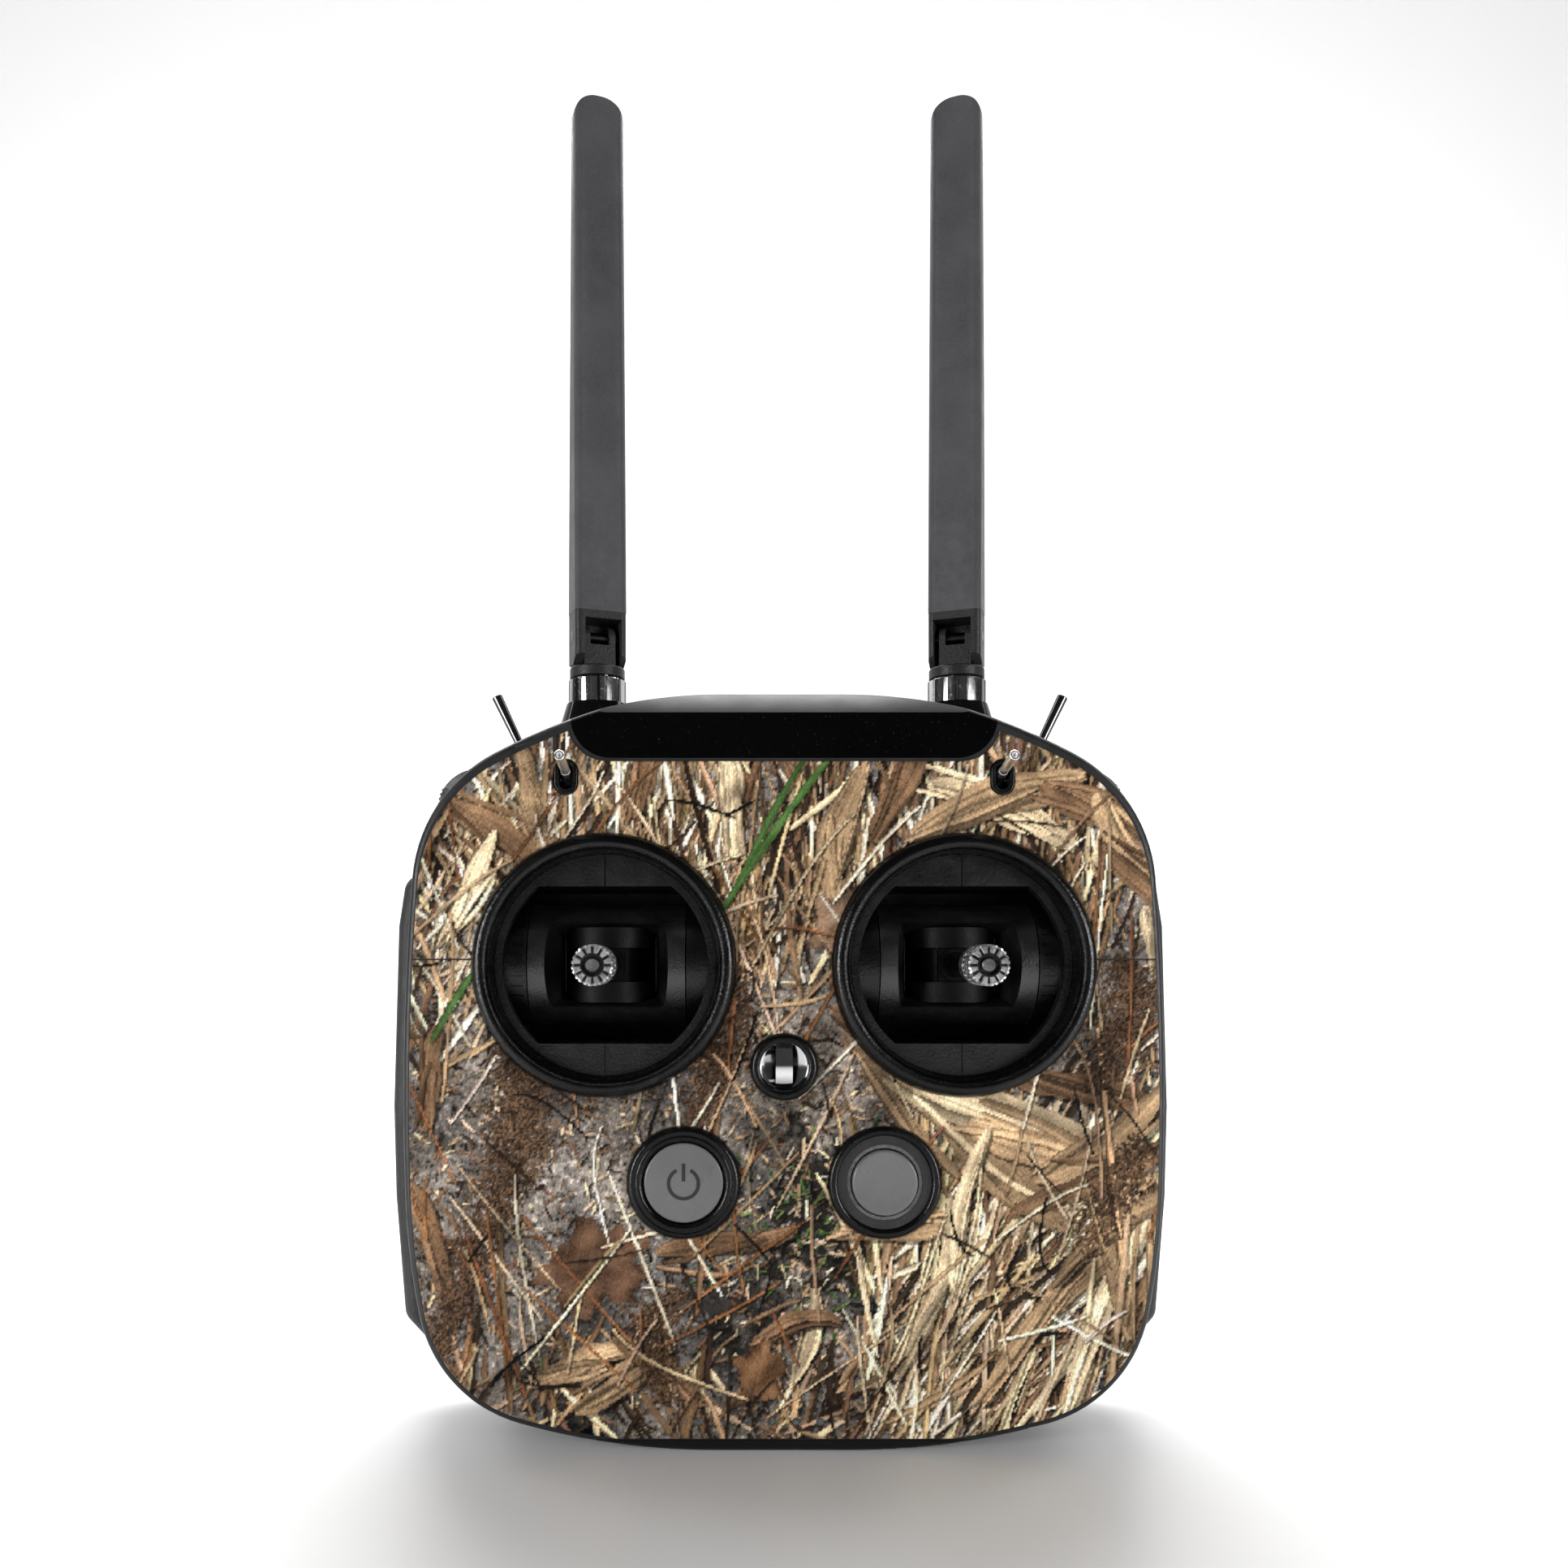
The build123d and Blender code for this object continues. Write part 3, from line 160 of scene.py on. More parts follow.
def moulded(name, colour, rough, grain=0.35, depth=0.02, spread=0.25, coat=0.0, edge_wear_and_highlight=1.8, ior=1.4):
    """Moulded plastic or rubber: two sizes of grain, faint blotches, and raised edges made lighter, as
    rubbed wear and, where the edge factor is large, as a painted edge highlight.
    """
    g = Graph(name)
    fine, blotch = g.noise(grain, 2.0), g.noise(14.0, 4.0)
    pits = g.cells(grain * 1.6)
    shade = g.mix(g.ramp(blotch, 0.3, 0.7), tint(colour, 1 - spread), tint(colour, 1 + spread))
    shade = g.mix(g.ramp(fine, 0.35, 0.75, 0.0, 0.5), shade, tint(colour, 1.5))
    # raised edges made lighter: rubbed wear, and where the factor is large a painted edge highlight
    shade = g.mix(g.math("MULTIPLY", g.wear(), g.ramp(g.noise(3.0), 0.35, 0.65, 0.2, 0.8)), shade,
                  tint(colour, edge_wear_and_highlight))
    g.set(Base_Color=shade, Roughness=g.ramp(g.noise(5.0, 4.0), 0.3, 0.7, rough - 0.06, rough + 0.07))
    g.shader.inputs["Coat Weight"].default_value = coat
    g.shader.inputs["Coat Roughness"].default_value = 0.06
    g.shader.inputs["IOR"].default_value = ior
    g.bump([(pits, depth), (fine, depth * 0.6)])
    return g.material


def gloss(name, colour, satin=0.0):
    """Piano-black plastic with dust, faint swirls and orange peel; satin where it faces up."""
    g = Graph(name)
    dust = g.ramp(g.noise(0.5, 1.0), 0.74, 0.8)
    hair = g.ramp(g.noise(1.6, 5.0, 0.7, g.stretch((1.0, 1.0, 9.0))), 0.62, 0.7)
    shade = g.mix(g.ramp(g.noise(25.0), 0.3, 0.7), tint(colour, 0.8), tint(colour, 1.3))
    shade = g.mix(g.math("MULTIPLY", dust, 0.25), shade, (0.12, 0.12, 0.12))
    rough = g.math("ADD", g.ramp(g.noise(9.0, 4.0), 0.35, 0.7, 0.05, 0.12),
                   g.math("MULTIPLY", g.math("MAXIMUM", dust, hair), 0.12))
    facing = g.new("ShaderNodeSeparateXYZ")
    g.feed(facing.inputs[0], g.new("ShaderNodeTexCoord").outputs["Normal"])
    upward = g.ramp(facing.outputs["Z"], 0.15, 0.6)
    rough = g.math("ADD", rough, g.math("MULTIPLY", upward, satin))
    g.set(Base_Color=shade, Roughness=rough)
    g.shader.inputs["IOR"].default_value = 1.3
    g.bump([(g.noise(6.0, 1.0), 0.01), (hair, 0.002)])
    return g.material


def metal(name, colour, rough, grain=0.25, lines=(1.0, 1.0, 1.0), depth=0.004, spread=0.12,
          edge=1.0, streak=(0.35, 0.72)):
    """Metal with tool lines along one direction, smudges and small scratches.

    edge is the brightness at a glancing view, and streak the strength and tone of the lines; strong
    near-black lines, as on the antenna collar, are painted reflection streaks.
    """
    g = Graph(name)
    tool_and_reflection_lines = g.noise(grain, 3.0, 0.6, g.stretch(lines))
    smudge = g.noise(4.0, 4.0)
    scratch = g.ramp(g.noise(1.2, 6.0, 0.75, g.stretch((1.0, 7.0, 1.6))), 0.63, 0.68)
    shade = g.mix(g.ramp(smudge, 0.3, 0.7), tint(colour, 1 - spread), tint(colour, 1 + spread))
    strength, dark = streak
    # the lines darken the colour: tool lines, and where the strength is full and the tone near black,
    # painted reflection streaks
    shade = g.mix(g.math("MULTIPLY", g.ramp(tool_and_reflection_lines, 0.4, 0.7), strength), shade, tint(colour, dark))
    value = g.math("ADD", g.ramp(smudge, 0.3, 0.7, rough * 0.75, rough * 1.35),
                   g.math("MULTIPLY", scratch, 0.1))
    g.set(Base_Color=shade, Roughness=value)
    g.shader.inputs["Metallic"].default_value = 1.0
    g.shader.inputs["Specular Tint"].default_value = (edge, edge, edge, 1.0)
    g.bump([(tool_and_reflection_lines, depth), (scratch, depth * 0.6)])
    return g.material


def crown(name):
    """Bright metal stick end: its twelve flutes painted dark as painted shade in their grooves, and a dark
    ring round the hub.
    """
    g = Graph(name)
    spot = g.new("ShaderNodeSeparateXYZ")
    g.feed(spot.inputs[0], g.new("ShaderNodeTexCoord").outputs["Generated"])
    x, z = g.math("SUBTRACT", spot.outputs["X"], 0.5), g.math("SUBTRACT", spot.outputs["Z"], 0.5)
    radius = g.math("SQRT", g.math("ADD", g.math("MULTIPLY", x, x), g.math("MULTIPLY", z, z)))
    wave = g.math("COSINE", g.math("MULTIPLY", g.math("ARCTAN2", z, x), 12.0))
    flute_shade = g.math("MULTIPLY", g.ramp(wave, 0.1, 0.75), g.ramp(radius, 0.47, 0.43))
    hub = g.ramp(radius, 0.3, 0.28)
    smudge = g.noise(2.0, 4.0)
    shade = g.mix(g.ramp(smudge, 0.3, 0.7), (0.84, 0.84, 0.855), (0.95, 0.95, 0.96))
    # the flutes are painted near black as painted shade in their grooves; the ring round the hub is painted
    # near black too
    shade = g.mix(g.math("MULTIPLY", g.math("MAXIMUM", flute_shade, hub), 0.95), shade, (0.02, 0.02, 0.021))
    g.set(Base_Color=shade, Roughness=g.ramp(smudge, 0.3, 0.7, 0.22, 0.34))
    g.shader.inputs["Metallic"].default_value = 1.0
    g.bump([(g.noise(0.3, 2.0), 0.002)])
    return g.material


def board(name):
    """Circuit board: solder mask over copper traces."""
    g = Graph(name)
    brick = g.new("ShaderNodeTexBrick", offset=0.37, squash=1.4)
    g.feed(brick.inputs["Vector"], g.place)
    brick.inputs["Scale"].default_value = 240.0
    brick.inputs["Mortar Size"].default_value = 0.06
    shade = g.mix(brick.outputs["Fac"], (0.012, 0.085, 0.03), (0.03, 0.17, 0.06))
    shade = g.mix(g.ramp(g.noise(2.0), 0.55, 0.6, 0.0, 0.5), shade, (0.35, 0.3, 0.16))
    g.set(Base_Color=shade, Roughness=g.ramp(g.noise(3.0), 0.3, 0.7, 0.25, 0.4))
    g.bump([(brick.outputs["Fac"], 0.03)])
    return g.material


def smoked(name):
    """Clear smoked plastic over a dark cavity."""
    g = Graph(name)
    shade = g.mix(g.ramp(g.noise(0.8), 0.35, 0.7), (0.04, 0.04, 0.042), (0.12, 0.12, 0.125))
    g.set(Base_Color=shade, Roughness=g.ramp(g.noise(1.0), 0.3, 0.7, 0.12, 0.25))
    g.shader.inputs["Coat Weight"].default_value = 0.5
    g.bump([(g.noise(0.6), 0.01)])
    return g.material


SHELL_GREY = (0.010, 0.0103, 0.0108)
BAR_LINES = (1.0, 1.0, 6.0)
MATERIALS = {
    "shell": moulded("shell_plastic", SHELL_GREY, 0.42, 0.4, 0.03, ior=1.38),
    "gloss_cover": gloss("cover_gloss", (0.0012, 0.0012, 0.0013), 0.5),
    "base_black": moulded("base_plastic", (0.003, 0.003, 0.0032), 0.4, 0.4, 0.015, ior=1.3),
    "grip_rubber": moulded("grip_rubber", (0.016, 0.0165, 0.0175), 0.55, 0.55, 0.06, 0.2),
    # the bezel and gimbal blacks get edges nine times lighter: a painted edge highlight
    "bezel_black": moulded("bezel_plastic", (0.0016, 0.0016, 0.0017), 0.25, 0.4, 0.035, 0.3,
                           edge_wear_and_highlight=9.0, ior=1.35),
    "gimbal_black": moulded("gimbal_plastic", (0.0014, 0.0014, 0.0015), 0.33, 0.45, 0.05, 0.3,
                            edge_wear_and_highlight=9.0, ior=1.45),
    "shaft_black": metal("shaft_anodised", (0.02, 0.02, 0.021), 0.3, 0.2, (1.0, 0.1, 1.0)),
    "stick_aluminium": metal("machined_aluminium", (0.72, 0.72, 0.735), 0.24, 0.12,
                             (1.0, 6.0, 1.0), 0.006),
    "screw_steel": metal("screw_steel", (0.5, 0.5, 0.51), 0.24, 0.2),
    "chrome": metal("polished_chrome", (0.42, 0.42, 0.43), 0.16, 0.5, BAR_LINES, 0.0012, 0.05, 0.05),
    "button_grey": moulded("button_plastic", (0.115, 0.115, 0.118), 0.3, 0.18, 0.006, 0.08,
                           coat=0.15, edge_wear_and_highlight=1.25),
    "light_guide": smoked("smoked_lens"),
    "switch_black": moulded("switch_plastic", (0.006, 0.006, 0.006), 0.5),
    "battery_door": moulded("door_plastic", SHELL_GREY, 0.42, 0.4, 0.03, ior=1.38),
    "antenna_grey": moulded("antenna_plastic", (0.056, 0.056, 0.0585), 0.42, 0.45, 0.04, 0.2, ior=1.25),
    "board_green": board("circuit_board"),
    "camo_print": moulded("sheet_backing", (0.3, 0.26, 0.2), 0.5),
}
# pieces that look different from the rest of their slot, by how their names start
SPECIAL = {
    # the drum also gets edges nine times lighter: a painted edge highlight
    "gimbal_drum": moulded("drum_plastic", (0.0015, 0.0015, 0.0016), 0.35, 0.45, 0.05, 0.3,
                           edge_wear_and_highlight=9.0, ior=1.75),
    "stick_end": crown("knurled_end"),
    "stick_yoke": moulded("yoke_plastic", (0.0012, 0.0012, 0.0013), 0.5, 0.45, 0.03, ior=1.2),
    "face_toggle_lever": metal("toggle_chrome", (0.8, 0.8, 0.81), 0.34, 0.5, BAR_LINES, 0.0012, 0.05),
    "shoulder_toggle_lever": metal("lever_chrome", (0.15, 0.15, 0.155), 0.2, 0.5, BAR_LINES,
                                   0.0012, 0.05, 0.05),
    # the collar's near-black vertical stripes are painted reflection streaks
    "antenna_connector": metal("collar_chrome", (0.92, 0.92, 0.93), 0.08, 1.3, (1.0, 1.0, 0.01),
                               0.11, 0.05, 0.2, (1.0, 0.04)),
    ("antenna_neck", "antenna_knuckle"): moulded("joint_plastic", (0.014, 0.014, 0.0147), 0.42, 0.4,
                                                 0.05, ior=1.35),
    "antenna_seat": gloss("seat_gloss", (0.004, 0.004, 0.0042)),
    "home_trim_ring": moulded("trim_plastic", (0.016, 0.016, 0.0165), 0.3, 0.18, 0.006, 0.08),
    ("lanyard_bar", "lanyard_disc"): metal("bar_chrome", (0.8, 0.8, 0.81), 0.07, 0.5, BAR_LINES,
                                           0.0012, 0.05),
}
slots = {entry["node"]: entry["material_slot"] for entry in frame["record"]["subparts"]}
for node, piece in NODES.items():
    special = [material for start, material in SPECIAL.items() if node.startswith(start)]
    material = special[0] if special else MATERIALS[slots[node]]
    for material_slot in piece.material_slots:
        material_slot.material = material
    if not piece.material_slots:
        piece.data.materials.append(material)


# ------------------------------------------------------------------ the printed skin
def srgb(red, green, blue):
    """8-bit display colour to linear."""
    value = np.array([red, green, blue], float) / 255
    return np.where(value <= 0.04045, value / 12.92, ((value + 0.055) / 1.055) ** 2.4)


PALE, STRAW, TAN = srgb(214, 200, 172), srgb(184, 163, 128), srgb(150, 124, 92)
BROWN, DARK, RUST = srgb(106, 82, 59), srgb(46, 35, 26), srgb(124, 84, 52)
MUD, GREY, SHADOW = srgb(104, 95, 84), srgb(84, 80, 74), srgb(16, 14, 12)
GREEN, MOSS = srgb(66, 92, 46), srgb(104, 116, 66)
SEED_HEAD = srgb(70, 53, 38)
CUT_EDGE = srgb(150, 142, 130)
# lifts the picture to the brightness of the print and cools it a little
PRINT_GAIN = 1.68 * np.array([1.0, 1.03, 1.16])


class Print:
    """A painted field over the face: dry ground, straw, husks, seed heads and shadow."""

    def __init__(self, low, high, pixel):
        self.low, self.pixel = np.array(low), pixel
        self.width = int((high[0] - low[0]) / pixel) + 1
        self.height = int((high[1] - low[1]) / pixel) + 1
        self.paint = np.zeros((self.height, self.width, 3))

    def field(self, size, octaves=4, fall=0.55):
        """Smooth noise about 0 with features of the given size in millimetres."""
        total = np.zeros((self.height, self.width))
        weight = 1.0
        for _ in range(octaves):
            rows = max(2, int(self.height * self.pixel / size) + 2)
            columns = max(2, int(self.width * self.pixel / size) + 2)
            grid = rng.normal(size=(rows + 1, columns + 1))
            y = np.linspace(0, rows - 1e-6, self.height)
            x = np.linspace(0, columns - 1e-6, self.width)
            fy, fx = (y % 1)[:, None], (x % 1)[None, :]
            fy, fx = fy * fy * (3 - 2 * fy), fx * fx * (3 - 2 * fx)
            y, x = y.astype(int), x.astype(int)
            top = grid[y][:, x] * (1 - fx) + grid[y][:, x + 1] * fx
            bottom = grid[y + 1][:, x] * (1 - fx) + grid[y + 1][:, x + 1] * fx
            total += weight * (top * (1 - fy) + bottom * fy)
            size, weight = size / 2.1, weight * fall
        return total

    def pixels(self, x, z):
        """Row and column of sample points in millimetres, and which lie on the picture."""
        column = ((x - self.low[0]) / self.pixel).astype(int).ravel()
        row = ((z - self.low[1]) / self.pixel).astype(int).ravel()
        keep = (column >= 0) & (row >= 0) & (column < self.width) & (row < self.height)
        return row[keep], column[keep], keep

    def spread(self, x, z, colour):
        """Paints the pixels under sample points."""
        row, column, keep = self.pixels(x, z)
        self.paint[row, column] = np.broadcast_to(colour, (*x.shape, 3)).reshape(-1, 3)[keep]

    def darken(self, x, z, amount):
        """Darkens the pixels under sample points, each pixel once."""
        row, column, _ = self.pixels(x, z)
        flat = np.unique(row * self.width + column)
        self.paint[flat // self.width, flat % self.width] *= 1 - amount

    def blade(self, x, z, angle, length, width, colour, bend=0.0, veins=0.15, pointed=0.7,
              shadow=0.45, curl=0.0, light=0.3):
        """One leaf, straw or husk, with veins along it, a lit side and a cast shadow."""
        step = self.pixel * 0.5
        along = np.linspace(0, 1, max(6, int(length / step)))
        across = np.linspace(-1, 1, max(3, int(width / step)))
        heading = math.radians(angle) + math.radians(bend) * (along - 0.3) ** 2 * np.sign(along - 0.3)
        heading = heading + math.radians(curl) * np.sin(along * 5.2 + rng.uniform(0, 6))
        hop = length / along.size
        cx = x + np.cumsum(np.cos(heading)) * hop
        cz = z + np.cumsum(np.sin(heading)) * hop
        body = np.sin(np.pi * np.clip(along * 0.96 + 0.02, 0, 1)) ** pointed
        half = width / 2 * body * (1 + 0.12 * np.sin(along * rng.uniform(9, 20)))
        px = cx[:, None] - np.sin(heading)[:, None] * half[:, None] * across[None, :]
        pz = cz[:, None] + np.cos(heading)[:, None] * half[:, None] * across[None, :]
        if shadow:
            drop = 0.35 + width * 0.09
            self.darken(px + drop, pz - drop, shadow)
        grain = rng.normal(size=across.size)
        veined = max(3, int(width * 2.2))
        fine = np.interp(np.linspace(0, 1, across.size), np.linspace(0, 1, veined), rng.normal(size=veined))
        tone = 1 + veins * (0.5 * grain + 0.9 * fine)[None, :]
        tone = tone + light * (across[None, :] * 0.8 * rng.choice([-1, 1]))
        tone = tone * (1 + 0.16 * np.interp(along, np.linspace(0, 1, 7), rng.normal(size=7)))[:, None]
        tone = tone * (1 - 0.35 * np.abs(across[None, :]) ** 6)
        tone = tone * (1 + 0.07 * rng.normal(size=tone.shape))
        self.spread(px, pz, np.clip(colour * np.clip(tone, 0.12, 1.9)[..., None], 0, 1))

    def plume(self, x, z, angle, length, width, count, colour):
        """A seed head: grains crowded round a bent stem."""
        t = rng.beta(1.6, 1.5, count)
        offset = rng.normal(size=count) * width * (0.25 + 0.75 * np.sin(np.pi * t) ** 0.8) * 0.42
        lean = math.radians(angle)
        sway = width * 0.5 * np.sin(t * 4 + rng.uniform(0, 6))
        px = x + math.cos(lean) * t * length - math.sin(lean) * (offset + sway)
        pz = z + math.sin(lean) * t * length + math.cos(lean) * (offset + sway)
        for index in range(count):
            size = rng.uniform(0.2, 0.62)
            angles = rng.uniform(0, 6.3, 14)
            radius = size * np.sqrt(rng.uniform(0, 1, 14))
            bx = px[index] + np.cos(angles) * radius * 0.7
            bz = pz[index] + np.sin(angles) * radius
            self.darken(bx + 0.22, bz - 0.26, 0.55)
            self.spread(bx, bz, np.clip(colour * rng.uniform(0.35, 1.9), 0, 1))

    def patch(self, x, z, reach, amount, colour, ragged):
        """A soft-edged blot, such as a deep shadow between stems."""
        zz, xx = np.mgrid[0:self.height, 0:self.width] * self.pixel
        distance = np.hypot((xx + self.low[0] - x) / reach[0], (zz + self.low[1] - z) / reach[1])
        mask = np.clip((1.15 - distance + 0.32 * self.field(ragged, 4)) * 2.2, 0, 1)[..., None] * amount
        self.paint = self.paint * (1 - mask) + colour * mask

    def dead_leaf(self, x, z, reach, angle, colour):
        """A crumpled broad leaf with a midrib and side veins."""
        step = self.pixel * 0.5
        across = np.linspace(0, 1, int(reach / step))
        turn = np.linspace(0, 2 * math.pi, int(6.5 * reach / step))
        lobes = 1 + 0.16 * np.sin(turn * 5 + 1) + 0.10 * np.sin(turn * 9 + 2) + 0.05 * np.sin(turn * 23)
        radius = reach * lobes[:, None] * across[None, :]
        lean = math.radians(angle)
        u, v = radius * np.cos(turn)[:, None], radius * np.sin(turn)[:, None] * 0.8
        px = x + u * math.cos(lean) - v * math.sin(lean)
        pz = z + u * math.sin(lean) + v * math.cos(lean)
        self.darken(px + 1.0, pz - 1.2, 0.5)
        side_veins = ((u - np.abs(v) * 0.9) % 4.2 - 2.1) / 0.32
        rib = np.exp(-(v / 0.35) ** 2) + 0.7 * np.exp(-side_veins ** 2)
        folds = np.sin(u * 0.55 + 2 * np.sin(v * 0.4)) * 0.22 + np.sin(v * 0.9 + u * 0.3) * 0.16
        tone = 0.85 + folds + 0.35 * rib + 0.1 * rng.normal(size=px.shape) - 0.3 * across[None, :] ** 8
        self.spread(px, pz, np.clip(colour * np.clip(tone, 0.1, 1.8)[..., None], 0, 1))


# x, z of the root in millimetres, angle in degrees, length, width and colour
HUSKS = [
    (-90, 164, -34, 42, 7, BROWN), (-95, 138, 72, 30, 7, TAN), (-86, 126, 58, 32, 5, STRAW),
    (-60, 150, 104, 28, 5, TAN), (-38, 158, 80, 22, 6, BROWN), (-12, 148, 98, 30, 6, STRAW),
    (10, 132, 76, 40, 8, TAN), (22, 152, 64, 28, 6, BROWN), (36, 166, -14, 40, 7, STRAW),
    (32, 154, 22, 46, 6, TAN), (64, 166, -20, 34, 8, BROWN), (78, 164, -58, 44, 8, TAN),
    (90, 136, -80, 34, 5, STRAW), (80, 150, -48, 34, 6, BROWN), (12, 110, -30, 60, 10, BROWN),
    (18, 102, -40, 70, 13, TAN), (32, 92, -30, 60, 11, STRAW), (46, 82, -20, 48, 10, TAN),
    (56, 94, -14, 40, 7, BROWN), (62, 68, 28, 42, 6, TAN), (95, 76, 208, 42, 5, BROWN),
    (12, 54, 10, 36, 5, TAN), (-32, 50, 6, 36, 5, BROWN), (28, 18, 72, 48, 4, STRAW),
    (50, 12, 54, 56, 5, TAN), (70, 8, 66, 54, 5, STRAW), (86, 28, 94, 42, 5, TAN),
    (-62, 18, 16, 28, 6, TAN), (-82, 32, 98, 38, 5, BROWN), (-52, 10, 36, 30, 6, TAN),
    (-20, 12, 146, 28, 5, BROWN), (2, 18, 72, 24, 4, STRAW), (-90, 80, 82, 28, 5, BROWN),
    (-8, 26, 24, 24, 5, BROWN), (68, 42, 42, 42, 5, TAN), (42, 38, 78, 44, 4, STRAW),
]


def pick(*colours):
    """One of the colours, a little lighter or darker and off its hue."""
    colour = colours[rng.integers(len(colours))]
    return np.clip(colour * rng.uniform(0.72, 1.25) * rng.normal(1, 0.04, 3), 0, 1)


# x, z, reach and strength of the deep shadows between the stems
HOLLOWS = [
    (12, 60, (17, 20), 0.9), (-10, 36, (12, 9), 0.75), (30, 50, (12, 7), 0.7), (84, 92, (10, 20), 0.8),
    (66, 164, (14, 7), 0.6), (-44, 26, (10, 12), 0.5), (-64, 88, (9, 12), 0.45), (-80, 148, (12, 8), 0.6),
    (58, 20, (16, 9), 0.6), (6, 146, (7, 15), 0.65), (24, 106, (7, 16), 0.6), (46, 34, (9, 12), 0.6),
]
# x, z of the foot, angle, length, width and number of grains
SEED_HEADS = [
    (-68, 54, 94, 52, 11, 2600), (-22, 78, 84, 58, 9, 2300), (-84, 20, 84, 40, 8, 1200),
    (-32, 12, 78, 30, 8, 1000), (84, 90, 96, 34, 12, 1600), (80, 48, 84, 32, 9, 900),
]
# x, z of the root, angle and length
GREEN_BLADES = [(-14, 136, 64, 44), (-16, 134, 56, 54), (90, 18, 62, 30), (-88, 102, 60, 22)]


def paint_ground(art):
    """Dry earth with grit and the shadows in its hollows."""
    tone = art.field(26, 5)[..., None]
    damp = np.clip(0.5 + 0.5 * art.field(40, 3)[..., None], 0, 1)
    art.paint = MUD * (1 + 0.28 * tone) + (GREY - MUD) * damp
    grit = art.field(1.1, 3, 0.85)
    art.paint *= np.clip(1 + 0.3 * grit, 0.25, 1.8)[..., None]
    art.paint[grit > 2.0] *= 1.5
    art.paint[grit < -1.9] *= 0.3
    for x, z, reach, amount in HOLLOWS:
        art.patch(x, z, reach, amount, SHADOW, 4.0)


def paint_litter(art, low, high):
    """Short broken bits over everything, and soft clumps of green low down."""
    for _ in range(4200):
        x, z = rng.uniform(low[0], high[0]), rng.uniform(low[1], high[1])
        art.blade(x, z, rng.uniform(0, 360), rng.uniform(0.8, 5.5), rng.uniform(0.25, 0.7),
                  pick(STRAW, TAN, BROWN, BROWN, DARK, DARK, MUD, GREY), rng.normal(0, 35), 0.1, 0.6, 0.5)
    for _ in range(320):
        x, z = rng.normal(8, 20), rng.normal(52, 15)
        art.blade(x, z, rng.uniform(0, 360), rng.uniform(1.2, 4.5), rng.uniform(0.25, 0.5),
                  pick(MOSS, GREEN, PALE, STRAW, SHADOW), rng.normal(0, 40), 0.1, 0.6, 0.5)


def paint_straw(art):
    """Straw: upright at the top, leaning on the left, flat below and a fan at the lower right."""
    for _ in range(720):
        x = rng.uniform(-66, 80)
        z = rng.uniform(112, 166)
        art.blade(x, z, 90 + rng.normal(0, 19), rng.uniform(10, 42), rng.uniform(0.4, 1.4),
                  pick(PALE, STRAW, TAN, TAN, BROWN, BROWN, DARK), rng.normal(0, 20), 0.2, 0.5, 0.55)
    for _ in range(210):
        x, z = rng.uniform(-98, -58), rng.uniform(92, 158)
        art.blade(x, z, rng.choice([62, 118]) + rng.normal(0, 16), rng.uniform(10, 30),
                  rng.uniform(0.35, 1.3), pick(PALE, STRAW, TAN, BROWN, DARK), rng.normal(0, 22),
                  0.2, 0.5, 0.5)
    for _ in range(150):
        x, z = rng.uniform(-88, 30), rng.uniform(-6, 18)
        art.blade(x, z, rng.uniform(20, 160), rng.uniform(8, 26), rng.uniform(0.35, 1.5),
                  pick(STRAW, TAN, BROWN, BROWN, DARK), rng.normal(0, 26), 0.2, 0.5, 0.5)
    for _ in range(560):
        x, z = rng.uniform(20, 92), rng.uniform(-6, 62)
        art.blade(x, z, 62 + rng.normal(0, 20), rng.uniform(14, 50), rng.uniform(0.35, 1.6),
                  pick(PALE, STRAW, STRAW, TAN, BROWN, DARK), rng.normal(0, 20), 0.2, 0.5, 0.55)


def paint_husks(art):
    """Broad dry leaves with torn strips beside them, and three dead leaves."""
    for x, z, angle, length, width, colour in HUSKS:
        colour = np.clip(colour * rng.uniform(0.8, 1.1), 0, 1)
        bend = rng.normal(0, 34)
        art.blade(x, z, angle, length, width, colour, bend, 0.26, 0.45, 0.7, 10, 0.3)
        for _ in range(3):
            art.blade(x + rng.normal(0, width / 3), z + rng.normal(0, width / 3), angle + rng.normal(0, 7),
                      length * rng.uniform(0.5, 0.95), width * rng.uniform(0.12, 0.3),
                      np.clip(colour * rng.uniform(0.5, 1.5), 0, 1), bend * rng.uniform(0.5, 1.3), 0.25,
                      0.4, 0.6, 6, 0.35)
    art.dead_leaf(-47, 46, 13, 30, srgb(92, 68, 50))
    art.dead_leaf(-6, 20, 7, 80, srgb(104, 76, 52))
    art.dead_leaf(14, 132, 8, 60, srgb(122, 98, 76))


